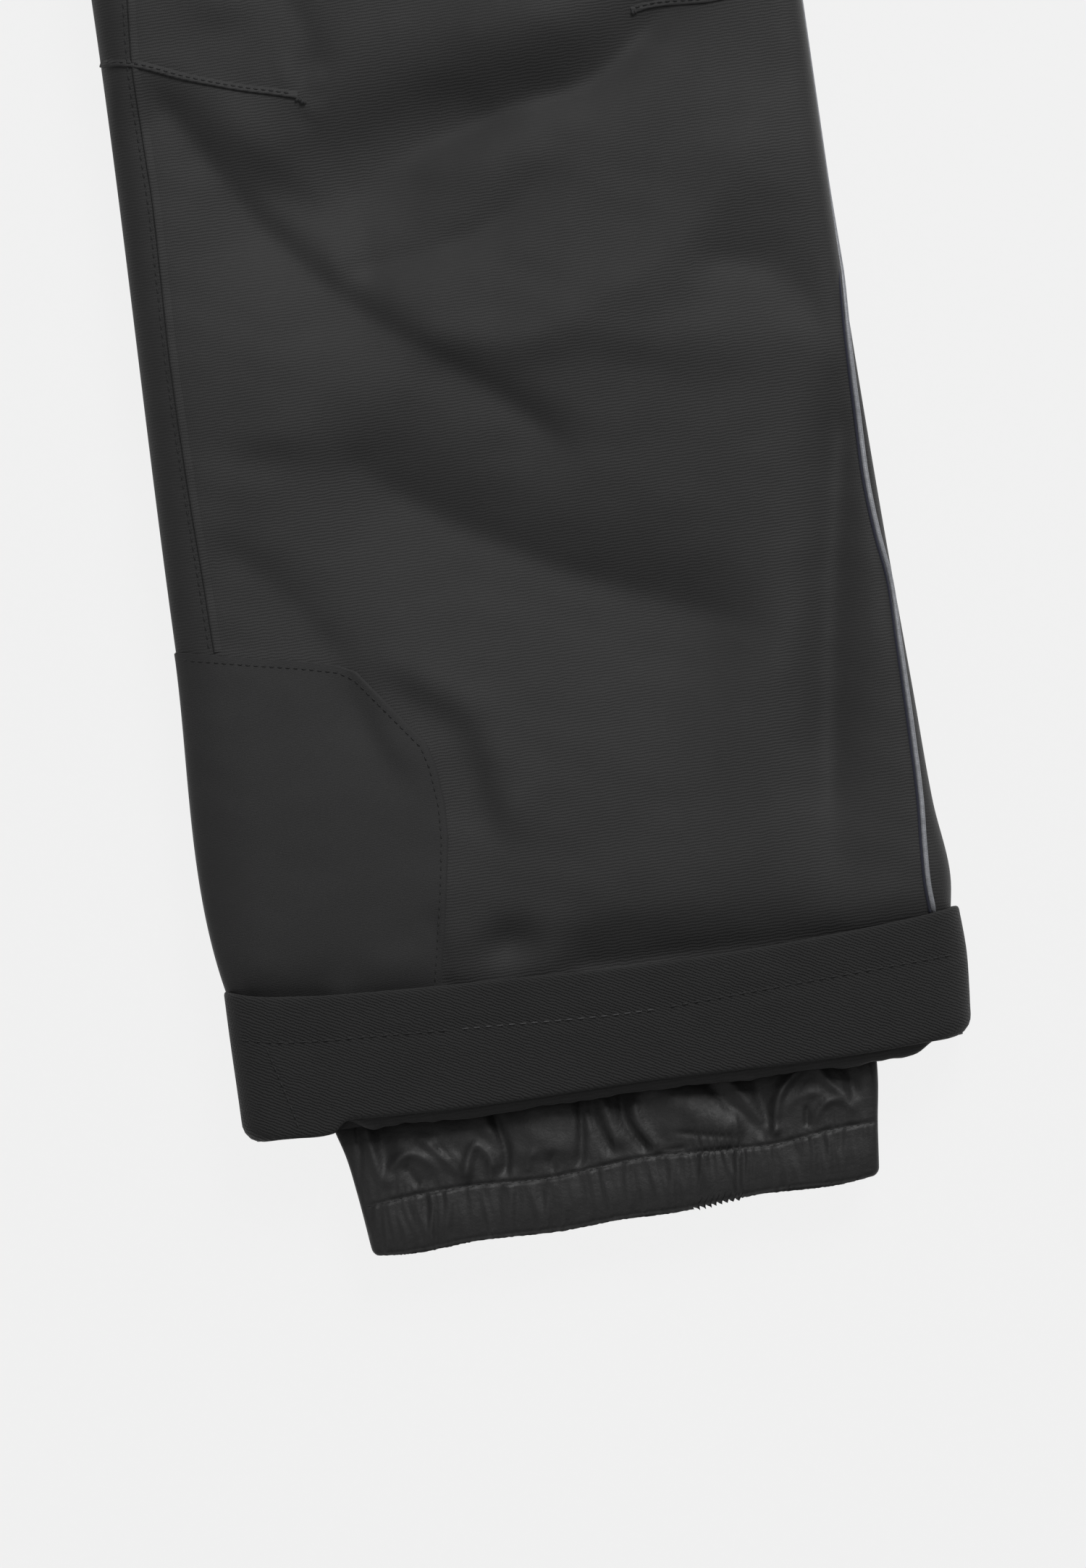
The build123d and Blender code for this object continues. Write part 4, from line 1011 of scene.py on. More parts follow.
def stitches(
    name, side, points, height, material, pitch=2.6, share=0.72, width=0.42, lift=0.10, jitter=0.0, smooth=True,
    frame=to_row,
):
    """A row of thread stitches along a path, each a small rounded bar sunk at its ends."""
    dense = smooth_path(points, max(60, int(path_length(points)))) if smooth else straight_path(points, 0.5)
    steps = np.concatenate([[0], np.cumsum(np.linalg.norm(np.diff(dense, axis=0), axis=1))])
    rng = random.Random(int(steps[-1] * 10))
    vertices, faces, uvs = [], [], []
    ring = 6
    at = pitch * 0.5
    while at + pitch * share < steps[-1]:
        wander = rng.uniform(-jitter, jitter)
        stations = at + pitch * share * np.array([0.0, 0.16, 0.5, 0.84, 1.0])
        u = np.interp(stations, steps, dense[:, 0])
        v = np.interp(stations, steps, dense[:, 1])
        direction = np.array([u[-1] - u[0], v[-1] - v[0]])
        direction /= np.linalg.norm(direction)
        cross_u, cross_v = -direction[1], direction[0]
        u, v = u + wander * cross_u, v + wander * cross_v
        sizes = np.array([0.35, 0.85, 1.0, 0.85, 0.35]) * width / 2
        lifts = lift + np.array([-0.22, 0.02, 0.08, 0.02, -0.22])
        start = len(vertices)
        for k in range(5):
            for r in range(ring):
                turn = 2 * math.pi * r / ring
                off = sizes[k] * math.cos(turn)
                uu, vv = u[k] + off * cross_u, v[k] + off * cross_v
                vertices.append((uu, vv, lifts[k] + sizes[k] * math.sin(turn)))
                uvs.append((uu, vv))
        for k in range(4):
            for r in range(ring):
                a, b = start + k * ring + r, start + k * ring + (r + 1) % ring
                faces.append((a, b, b + ring, a + ring))
        faces.append(tuple(start + r for r in range(ring))[::-1])
        faces.append(tuple(start + 4 * ring + r for r in range(ring)))
        at += pitch
    data = np.array(vertices)
    z = height(data[:, 0], data[:, 1]) + data[:, 2]
    x, y = frame(side, data[:, 0], data[:, 1])
    if side < 0:
        faces = [f[::-1] for f in faces]
    return make_object(name, np.stack([x, y, z], axis=1), faces, np.array(uvs), material)


PIPING = [
    (240, 106.0), (231, 105.6), (214, 104.6), (189, 104.0), (169, 103.6), (152, 104.6), (140, 106.0), (121, 105.9),
    (107, 105.8), (89, 105.5), (72, 105.0), (58, 103.9), (46, 103.3), (38, 103.7), (28, 104.0),
]


def tube_along(name, path, radius, material, ring=8):
    """A solid round tube through points in mm."""
    path = np.asarray(path, float)
    along = np.gradient(path, axis=0)
    along /= np.linalg.norm(along, axis=1)[:, None]
    up = np.array([0.0, 0.0, 1.0])
    across = np.cross(along, up)
    across /= np.linalg.norm(across, axis=1)[:, None]
    over = np.cross(across, along)
    rows, uvs = [], []
    steps = np.concatenate([[0], np.cumsum(np.linalg.norm(np.diff(path, axis=0), axis=1))])
    for k in range(len(path)):
        turns = np.arange(ring) * 2 * math.pi / ring
        rows.append(path[k] + radius * (np.cos(turns)[:, None] * across[k] + np.sin(turns)[:, None] * over[k]))
        uvs.append(np.stack([turns * radius, np.full(ring, steps[k])], axis=1))
    return solid_grid(name, np.array(rows), uvs, material)


def piping(side_name, side, relief):
    """Reflective piping: on the front near the hem, then round the outer edge above."""
    v = np.concatenate([[37.6, 38.6], np.arange(40.0, KNEE_V - 2, 2.0)])[::-1]
    u = curve(PIPING[::-1], v)
    edge = curve(OUTER_EDGE, v)
    middle = curve(LEG_MIDDLE, v)
    hide = smooth_step((v - 226) / 40)
    uu = np.minimum(u, edge - 0.15) * (1 - hide) + (edge - 0.3) * hide
    sink = 1.2 * np.clip((40 - v) / 2, 0, 1)
    z = leg_top(uu, v, relief) * (1 - hide) + (middle - 4.0) * hide - sink
    x, y = to_row(side, uu, v)
    path = np.stack([x, y, z + 0.25], axis=1)
    cord = tube_along(f"{side_name}_piping_cord", path, 0.82, PIPING_CLOTH)
    x, y = to_row(side, uu - 1.15, v)
    z = np.maximum(leg_top(uu - 1.15, v, relief), 0) * (1 - hide) + (middle - 4) * hide
    dark = np.stack([x, y, z + 0.05], axis=1)
    binding = tube_along(f"{side_name}_piping_binding", dark, 0.5, BINDING, ring=6)
    return cord, binding


# ---------------------------------------------------------------- seat and thighs
# place up the garment, inner edge or centre seam, outer edge, on the left side, in mm
TRUNK = (
    (0, (61.6, -17.7), (272.4, 14.6)),
    (48, (51.5, 32), (266.2, 46)),
    (96, (41, 80), (259.5, 84)),
    (138, (25.5, 122), (252.5, 124)),
    (178, (9, 162), (246.8, 163)),
    (203, (0, 187), (242.3, 188)),
    (254, (0, 238), (233.5, 238)),
    (296, (0, 280), (221.5, 280)),
    (352, (0, 336), (200.5, 336)),
    (408, (0, 391.8), (178.5, 391.8)),
)
TRUNK_END, CROTCH_S = 408.0, 203.0
TRUNK_TOP = [(0, 25.7), (96, 27.5), (178, 30.0), (203, 31.0), (254, 33.6), (408, 34.2)]
TRUNK_MIDDLE = [(0, 11.5), (96, 13.0), (178, 15.0), (254, 17.0), (408, 17.0)]
POCKET_TOP, POCKET_BOTTOM = (134.0, CROTCH_Y + 182.0), (178.0, CROTCH_Y + 60.0)
WAIST_Y, BACK_RISE = CROTCH_Y + 204.0, 14.0
FRONT_BAND = 37.0  # height of the waistband in front
BAND_SEAMS = (("low", WAIST_Y + 3.5), ("high", WAIST_Y + 33.0))  # its two rows of stitches
FLY_BED, POCKET_BED = 30.4, 31.2  # heights of the cloth that the zips lie on


def row_frame(side, x, y):
    """Row coordinates on one side of the centre line, for the same calls that take leg ones."""
    return side * x, y


def trunk_place(s, t):
    """Row coordinates from a place up the garment and a share of the way out to its side."""
    ends = [curve([(row[0], row[k][axis]) for row in TRUNK], s) for k in (1, 2) for axis in (0, 1)]
    inner_x = np.where(s >= CROTCH_S, 0.0, np.maximum(ends[0], 0.0))
    return inner_x + (ends[2] - inner_x) * t, ends[1] + (ends[3] - ends[1]) * t


def trunk_share(x, y):
    """The place up the garment and share outwards of a row coordinate."""
    rows = np.array([r[0] for r in TRUNK], float)
    s = np.interp(y, [0.5 * (r[1][1] + r[2][1]) for r in TRUNK], rows)
    for _ in range(6):
        x0, y0 = trunk_place(s, np.zeros_like(s))
        x1, y1 = trunk_place(s, np.ones_like(s))
        t = np.clip((x - x0) / (x1 - x0), 0, 1)
        s = np.clip(s + (y - (y0 + (y1 - y0) * t)), 0, TRUNK_END)
    return s, t


def waist_rise(x):
    """How much higher the back of the waistband sits than the front."""
    return BACK_RISE * (1 - smooth_step((np.abs(x) - 60) / 105))


def back_rise(x, s):
    """How much higher the back of the seat is cut than the front."""
    return smooth_step((s - 250) / (TRUNK_END - 250)) * waist_rise(x)


def trunk_outer(y):
    """The trunk's outer edge at a height up the row."""
    return np.interp(y, [row[2][1] for row in TRUNK], [row[2][0] for row in TRUNK])


def leg_from_row(x, y):
    """Leg coordinates of a place given in row ones, on the left side."""
    return (x - FOLD_X) * COS + (y - FOLD_Y) * SIN, -(x - FOLD_X) * SIN + (y - FOLD_Y) * COS


def along_pocket(x, y):
    """Distance off the hand pocket's zip, distance along it from its top, and its length."""
    (x0, y0), (x1, y1) = POCKET_TOP, POCKET_BOTTOM
    length = math.hypot(x1 - x0, y1 - y0)
    along = ((x - x0) * (x1 - x0) + (y - y0) * (y1 - y0)) / length
    off = ((x - x0) * (y1 - y0) - (y - y0) * (x1 - x0)) / length
    return off, along, length


def trunk_folds(x, y, seed):
    """Folds of the seat and thighs: drag lines from the crotch, soft lengths down the thigh."""
    h = np.zeros(np.shape(x))
    k = 1.0 if seed else 0.85
    h += step_fold(x, y, [(8, 176), (42, 142), (84, 96), (116, 40)], 2.0 * k, 6, 24, 0.2, 0.3)
    h += step_fold(x, y, [(4, 190), (44, 176), (96, 150), (150, 118)], -1.8, 7, 22, 0.2, 0.3)
    h += step_fold(x, y, [(2, 206), (36, 214), (86, 214), (140, 200)], 1.7 * k, 7, 24, 0.2, 0.3)
    h += step_fold(x, y, [(1, 232), (40, 248), (84, 262)], -1.2, 6, 20, 0.2, 0.4)
    h += ridge(x, y, [(196, 226), (200, 150), (206, 70), (214, 10)], 2.0, 12, 0.25, 0.2)
    h += ridge(x, y, [(154, 216), (150, 150), (152, 90), (160, 20)], -2.2 * k, 13, 0.2, 0.2)
    h += ridge(x, y, [(226, 208), (228, 140), (238, 60)], -1.3, 7, 0.2, 0.2)
    h += ridge(x, y, [(92, 330), (80, 292), (62, 262)], 1.3, 9, 0.2, 0.3)
    h += ridge(x, y, [(116, 300), (122, 268), (118, 232)], -1.5, 9, 0.2, 0.3)
    h += step_fold(x, y, [(60 + 6 * k, 120), (100, 100), (150, 92), (196, 104)], -1.3, 6, 20)
    rng = random.Random(11 + seed)
    for _ in range(9):
        at = rng.uniform(44, 126)
        path = [(at, 393), (at + rng.uniform(-4, 4), 372), (at + rng.uniform(-9, 9), 350)]
        h += ridge(x, y, path, rng.uniform(-0.8, 0.9), rng.uniform(2.0, 4.5), 0.02, 0.8)
    return h


def trunk_section(s, t):
    """How flat the trunk lies: 0 at its edges, 1 between them, and no inner edge above the crotch."""
    flat = smooth_step((s - 176) / (CROTCH_S - 2 - 176))
    inner, outer = np.clip(1 - 2 * t, 0, 1) ** EDGE_ROLL, np.clip(2 * t - 1, 0, 1) ** EDGE_ROLL
    return np.sqrt(np.clip(1 - inner * (1 - flat) - outer, 0, 1)), flat


def pocket_zone(x, y, reach, across, ends, along_ease):
    """1 over a hand pocket's zip, easing to 0 beyond its reach across and past its ends."""
    off, along, length = along_pocket(x, y)
    near = smooth_step((reach - np.abs(off)) / across)
    return near * smooth_step((along + ends) / along_ease) * smooth_step((length + ends - along) / along_ease)


def trunk_front(x, y, seed):
    """Height of the front cloth above the lower legs, at row coordinates on one side."""
    s, t = trunk_share(np.asarray(x, float), np.asarray(y, float))
    section, _ = trunk_section(s, t)
    u, v = leg_from_row(x, y)
    share = smooth_step((v - 400) / 60)
    relief = front_relief(u, v) if seed else other_relief(u, v)
    folds = trunk_folds(x, y, seed) + 0.45 * grain(x, y, 46, 83 + seed) + 0.14 * grain(x, y, 16, 85 + seed)
    above_fly = smooth_step((y - 262) / 24)
    near_fly = smooth_step((np.abs(x) - 30) / 26) * above_fly + (1 - above_fly)
    relief = relief * (1 - share) + folds * share * near_fly
    z = curve(TRUNK_MIDDLE, s)
    z = z + (curve(TRUNK_TOP, s) - z) * section + relief * np.clip(section * 1.25 - 0.25, 0, 1)
    z = z - 0.7 * np.exp(-((x / 1.3) ** 2)) * smooth_step((s - CROTCH_S + 12) / 20)
    # the seams of the fly and pockets sink to let their zips lie in them
    fly = smooth_step((14.1 - np.abs(x)) / 1.2) * smooth_step((y - CROTCH_Y - 84.2) / 1.2)
    z = z * (1 - fly) + FLY_BED * fly
    pocket = pocket_zone(x, y, 8.2, 3.0, 4, 3)
    return z * (1 - pocket) + POCKET_BED * pocket


def trunk_back(x, y, s, t):
    """Height of the back cloth, which lies on the floor."""
    section, flat = trunk_section(s, t)
    middle = curve(TRUNK_MIDDLE, s)
    lift = np.clip(0.8 * grain(x, y, 44, 91) + 0.5, 0, 2.4) + 0.4 + 1.0 * np.exp(-((x / 2.0) ** 2)) * flat
    lift = lift + 1.8 * smooth_step((s - 370) / 38)
    return middle + (lift - middle) * section


def merged(piece, distance=0.03):
    """Joins the points of a piece that lie on each other."""
    shape = bmesh.new()
    shape.from_mesh(piece.data)
    bmesh.ops.remove_doubles(shape, verts=shape.verts, dist=distance * MM)
    shape.to_mesh(piece.data)
    shape.free()
    return piece


def trunk(side_name, side, seed):
    """One side of the seat and its thigh, front and back, sewn down the side."""
    s = spaced([(0, 0), (150, 3.0), (215, 1.6), (294, 3.0), (300, 0.6), (TRUNK_END, 3.0)])
    near = np.array([0, 0.25, 0.7, 1.3, 2.1, 3.2, 4.8, 6.6, 8.4, 10.2, 11.8, 12.9, 13.5, 14.1, 15.2, 16.8])
    ss = s[:, None]
    x0, _ = trunk_place(ss, np.zeros_like(ss))
    x1, _ = trunk_place(ss, np.ones_like(ss))
    span = x1 - x0
    last = near[-1] / span
    even = np.linspace(0, 1, 84)[1:-1]
    t = np.concatenate([near / span, last + (1 - 2 * last) * even, 1 - near[::-1] / span], axis=1)
    ss = np.repeat(ss, t.shape[1], axis=1)
    x, y = trunk_place(ss, t)
    front = trunk_front(x, y, seed)
    y_back = y + back_rise(x, ss)
    back = np.maximum(trunk_back(x, y, ss, t), 0.05)
    u, v = leg_from_row(x, y)
    uv = np.stack([u, v], axis=2)
    rows, columns = x.shape
    points = np.concatenate([
        np.stack([side * x, y, front], axis=2).reshape(-1, 3),
        np.stack([side * x, y_back, back], axis=2).reshape(-1, 3),
    ])
    faces = grid_faces(rows, columns) + [f[::-1] for f in grid_faces(rows, columns, start=rows * columns)]
    if side < 0:
        faces = [f[::-1] for f in faces]
    uvs = np.concatenate([uv.reshape(-1, 2), uv.reshape(-1, 2)])
    return merged(make_object(f"{side_name}_seat_and_thigh", points, faces, uvs, SHELL))


# ---------------------------------------------------------------- small sewn pieces
def slab(name, rows, material, place=None, relief=None, columns=24, edge=0.9, flip=False):
    """A flat sewn piece with rounded edges. rows are (along, from, to, low, high), in mm.

    place turns (across, along, height) into the row frame. relief adds height to the upper face.
    """
    first, last = rows[0], rows[-1]
    way = 1 if last[0] > first[0] else -1
    ends = []
    for row, sign in ((first, 1), (last, -1)):
        middle, half = (row[3] + row[4]) / 2, (row[4] - row[3]) / 2
        round_off = min(edge, half)
        made = []
        for near, share in ((0.0, 0.15), (0.25, 0.7), (0.6, 0.93)):
            along, inset = row[0] + sign * way * round_off * near, round_off * (1 - near) * 0.6
            made.append((along, row[1] + inset, row[2] - inset, middle - half * share, middle + half * share))
        ends.append(made if sign > 0 else made[::-1])
    first, last = (first[0] + way * edge, *first[1:]), (last[0] - way * edge, *last[1:])
    every = [*ends[0], first, *rows[1:-1], last, *ends[1]]
    loops, uvs = [], []
    for along, low_x, high_x, low, high in every:
        middle, half = (low + high) / 2, (high - low) / 2
        r = min(edge, (high_x - low_x) * 0.4)
        near = np.array([0.0, 0.08, 0.3, 0.65, 1.0]) * r
        x = np.concatenate([low_x + near, np.linspace(low_x + r, high_x - r, columns)[1:-1], high_x - near[::-1]])
        inward = np.clip(1 - np.minimum(x - low_x, high_x - x) / r, 0, 1)
        lifted = np.sqrt(np.clip(1 - inward**2, 0, 1))
        extra = relief(x, np.full_like(x, along)) * lifted if relief else 0
        xs = there_and_back(x, x)
        zs = there_and_back(middle + half * lifted + extra, middle - half * lifted)
        loops.append(np.stack([xs, np.full_like(xs, along), zs], axis=1))
        uvs.append(np.stack([there_and_back(x, x + 3), np.full_like(xs, along)], axis=1))
    points = np.array(loops)
    if place is not None:
        flat = points.reshape(-1, 3)
        points = np.stack(place(flat[:, 0], flat[:, 1], flat[:, 2]), axis=1).reshape(points.shape)
    return solid_grid(name, points, uvs, material, (way < 0) != flip)


def rounded_rows(y0, y1, x0, x1, low, high, corners=(0, 0, 0, 0), step=3.0):
    """Rows of a rectangle whose corners are rounded: bottom left, bottom right, top left, top right."""
    def cut(radius, distance):
        if distance >= radius:
            return 0.0
        return radius - math.sqrt(max(radius**2 - max(radius - distance, 0) ** 2, 0))

    places = list(np.linspace(y0, y1, max(3, int((y1 - y0) / step))))
    for k in range(6):
        places += [y0 + r * k / 5 for r in corners[:2]] + [y1 - r * k / 5 for r in corners[2:]]
    rows = []
    for y in sorted(set(places)):
        left = x0 + cut(corners[0], y - y0) + cut(corners[2], y1 - y)
        right = x1 - cut(corners[1], y - y0) - cut(corners[3], y1 - y)
        if not rows or y - rows[-1][0] > 0.05:
            rows.append((y, left, right, low, high))
    return rows


# ---------------------------------------------------------------- waistband
BAND_OUTER, BAND_LOW, BAND_HIGH, BAND_THICK = 180.0, 2.2, 36.5, 5.2


def band_path(start_x, face, step=2.0):
    """Points and outward directions round the flattened waistband, from near the centre to the side."""
    radius = (BAND_HIGH - BAND_LOW) / 2
    corner = BAND_OUTER - radius
    flat = np.linspace(start_x, corner, max(3, int((corner - start_x) / step)))
    turn = np.linspace(0, math.pi / 2, 14)[1:]
    x = np.concatenate([flat, corner + radius * np.sin(turn)])
    z = np.concatenate([np.full(len(flat), BAND_HIGH), BAND_LOW + radius + radius * np.cos(turn)])
    nx = np.concatenate([np.zeros(len(flat)), np.sin(turn)])
    nz = np.concatenate([np.ones(len(flat)), np.cos(turn)])
    if face == "back":
        z, nz = BAND_LOW + BAND_HIGH - z, -nz
    return np.stack([x, z, nx, nz], axis=1)


def band_profile(height, thick, corner=1.5):
    """The band seen from its end: (up, depth) round a rectangle with soft corners."""
    near, far, deep = corner, height - corner, thick - corner
    turns = []
    for x, y, start in ((near, near, 180), (far, near, 270), (far, deep, 0), (near, deep, 90)):
        angles = [math.radians(start + 30 * k) for k in range(4)]
        turns.append([(x + corner * math.cos(a), y + corner * math.sin(a)) for a in angles])
    outer = [(a, 0.0) for a in np.linspace(near, far, 16)[1:-1]]
    inner = [(a, thick) for a in np.linspace(far, near, 8)[1:-1]]
    return turns[0] + outer + turns[1] + turns[2] + inner + turns[3]


def band_relief(x, up, height, face, seed):
    """Gathers and softness of the waistband's outer face."""
    arch = np.sin(np.pi * np.clip(up / height, 0, 1))
    h = 0.5 * arch + 0.25 * grain(x, up, 30, 101 + seed)
    if face == "back":
        rng = random.Random(7 + seed)
        at, gathers = -175.0, np.zeros(np.shape(x))
        while at < 175:
            wide = rng.uniform(4.5, 8.5)
            height_here, slant = rng.uniform(0.7, 1.3), rng.uniform(-0.02, 0.02)
            gathers += height_here * np.exp(-(((x - at - slant * up) / (0.3 * wide)) ** 2))
            at += wide
        edge = np.clip((150 - np.abs(x)) / 20, 0, 1)
        h = h + gathers * edge * (0.35 + 0.65 * arch)
    for line in (3.5, height - 4.0, height - 8.0):
        h = h - 0.35 * np.exp(-(((up - line) / 0.9) ** 2))
    return h


def band_piece(name, side, path, height, face, material, seed, thick=BAND_THICK, shift=0.0, relief=True):
    """A length of waistband swept along its path, closed at both ends."""
    profile = np.array(band_profile(height, thick))
    rows, uvs = [], []
    run = 0.0
    for k, (x, z, nx, nz) in enumerate(path):
        if k:
            run += math.hypot(x - path[k - 1][0], z - path[k - 1][1])
        rise = waist_rise(np.array(x)) if face == "back" else 0.0
        up, depth = profile[:, 0], profile[:, 1] + shift
        outer = depth <= shift + 1e-6
        bump = np.zeros(len(up))
        if relief:
            bump = np.where(outer, band_relief(np.full(len(up), x * side), up, height, face, seed), 0)
        px = side * (x + nx * (bump - depth))
        pz = z + nz * (bump - depth)
        rows.append(np.stack([px, WAIST_Y + 0.2 + rise + up, pz], axis=1))
        uvs.append(np.stack([np.full(len(up), run), up + np.where(outer, 0, 40)], axis=1))
    return solid_grid(name, np.array(rows), uvs, material, (side < 0) != (face == "back"))


def back_band(name, height, material, shift, thick, relief=True):
    """The back of the waistband, from side seam to side seam."""
    half = band_path(0.0, "back")
    path = [(-x, z, -nx, nz) for x, z, nx, nz in half[::-1]] + [tuple(p) for p in half[1:]]
    return band_piece(name, 1, path, height, "back", material, 3, thick, shift, relief)


# ---------------------------------------------------------------- zips
TOOTH = (  # a tooth's rings: (across from the middle, half width along the zip, height)
    (2.75, 0.25, 0.55), (2.4, 0.52, 0.85), (1.2, 0.50, 1.0), (0.3, 0.56, 1.0), (-0.15, 0.34, 0.7),
)


def coil_teeth(name, place, length, pitch=1.6):
    """Two rows of moulded teeth that mesh along the zip, with a stop at its lower end."""
    vertices, faces, uvs = [], [], []
    count = int((length - 5) / pitch)
    for side in (1, -1):
        for k in range(count):
            along = 2.8 + pitch * (k + (0.5 if side > 0 else 0.0))
            start = len(vertices)
            for across, half_along, tall in TOOTH:
                for r in range(8):
                    a = 2 * math.pi * (r + 0.5) / 8
                    y, z = along + half_along * 1.1 * math.cos(a), 1.12 + 0.58 * tall * math.sin(a)
                    vertices.append((side * across, y, z))
                    uvs.append((side * across, along))
            for j in range(4):
                for r in range(8):
                    a, b = start + j * 8 + r, start + j * 8 + (r + 1) % 8
                    quad = (a, b, b + 8, a + 8)
                    faces.append(quad if side < 0 else quad[::-1])
            cap0, cap1 = tuple(start + r for r in range(8)), tuple(start + 32 + r for r in range(8))
            faces.append(cap0 if side > 0 else cap0[::-1])
            faces.append(cap1[::-1] if side > 0 else cap1)
    data = np.array(vertices)
    points = np.stack(place(data[:, 0], data[:, 1], data[:, 2]), axis=1)
    return make_object(name, points, faces, np.array(uvs), COIL)


def pocket_place(side, height):
    """Turns zip coordinates, across and up from the pocket's lower end, into the row frame."""
    (x0, y0), (x1, y1) = POCKET_BOTTOM, POCKET_TOP
    length = math.hypot(x1 - x0, y1 - y0)
    dx, dy = (x1 - x0) / length, (y1 - y0) / length

    def place(across, along, z):
        return side * (x0 + dx * along + dy * across), y0 + dy * along - dx * across, z + height

    return place, length


def tape_cord(x, y):
    """The cord woven into a zip tape's inner edge, and its weft."""
    return 0.22 * np.exp(-(((np.abs(x) - 3.3) / 0.35) ** 2)) + 0.03 * np.sin(y * 2.1)


def zip_tape_pair(name, place, length, outer):
    """The zip's two woven tapes, each with a corded inner edge."""
    pieces = []
    for side in (1, -1):
        low_x, high_x = sorted((side * 0.9, side * outer))
        rows = [(y, low_x, high_x, 0.0, 0.55) for y in np.linspace(0, length, 60)]
        which = "left" if side > 0 else "right"
        pieces.append(slab(f"{name}_{which}", rows, ZIP_TAPE, place, tape_cord, 18, 0.25))
    return pieces


# ---------------------------------------------------------------- linings
def quilt(x, y):
    """Lines of quilting across a lining, with small puckers along them."""
    lines = np.abs(((y + 900) % 55.0) - 27.5)
    return -1.3 * np.exp(-((lines / 2.0) ** 2)) * (1 + 0.3 * np.sin(x * 0.9)) + 0.25 * grain(x, y, 15, 121)


LINING_FACES = ((1.7, 0.6), (4.4, -0.6))  # each face's depth under the shell, and which way its quilting puffs


def leg_quilt_tube(name, side, v0, v1, upper, shell):
    """A leg's quilted lining, inside its shell: an inner and an outer face joined at both ends."""
    v = spaced([(v0, 0), (v1, 6.0)])
    even = np.linspace(0, 1, 40)
    t = 0.5 * (0.5 - 0.5 * np.cos(np.pi * even)) + 0.5 * even
    section = np.sqrt(1 - np.abs(2 * t - 1) ** EDGE_ROLL)
    loops, uvs = [], []
    for (depth, puff), rows in zip(LINING_FACES, (v, v[::-1])):
        for along in rows:
            place = np.full(len(t), along)
            if upper:
                x, y = trunk_place(place, t)
                x = x + depth * (1 - 2 * t)
                middle, high = curve(TRUNK_MIDDLE, place), curve(TRUNK_TOP, place) - 5.0 - depth
                roof = shell(x, y)
            else:
                inner, outer = float(curve(INNER_EDGE, along)), float(curve(OUTER_EDGE, along))
                u = inner + depth + (outer - inner - 2 * depth) * t
                x, y = to_row(1, u, place)
                middle, high = curve(LEG_MIDDLE, place), curve(LEG_TOP, place) - 6.0 - depth
                roof = shell(u, place)
            top = middle + (high - middle) * section + quilt(x, place) * puff * section
            under = middle + (0.9 + depth - middle) * section
            xs, ys = there_and_back(x, x), there_and_back(y, y)
            zs = there_and_back(np.minimum(top, roof - 1.0 - depth), under)
            loops.append(np.stack([side * xs, ys, zs], axis=1))
            uvs.append(np.stack([xs, np.full(len(xs), along)], axis=1))
    loops.append(loops[0])
    uvs.append(uvs[0])
    return merged(grid_object(name, np.array(loops), np.array(uvs), LINING, closed=True, flip=side > 0))


def seat_quilt(name, face):
    """The seat's quilted lining, front or back, under or over its shell."""
    rows = []
    top_y = WAIST_Y - 1 + (0 if face == "front" else BACK_RISE - 2)
    for y in np.linspace(CROTCH_Y + 4, top_y, 60):
        reach = float(trunk_outer(y)) - 8.0
        reach = min(reach, 172.0) if y > WAIST_Y else reach
        drop = 2.6 * (1 - smooth_step((y - CROTCH_Y) / 70))
        low, high = (27.6 - drop, 30.4 - drop) if face == "front" else (4.4, 7.2)
        rows.append((y, -reach, reach, low, high))

    def place(x, y, z):
        roll = smooth_step((np.abs(x) - trunk_outer(y) + 26) / 18)
        if face == "back":
            return x, y, z + 6.0 * roll
        fly = smooth_step((20 - np.abs(x)) / 4) * smooth_step((y - CROTCH_Y - 82) / 6)
        pocket = pocket_zone(np.abs(x), y, 12, 4, 8, 4)
        return x, y, z - 3.2 * np.maximum(fly, pocket) - 7.0 * roll

    sign = 1 if face == "back" else 0.4
    return slab(name, rows, LINING, place, lambda x, y: sign * quilt(x, y), 130, 1.3)


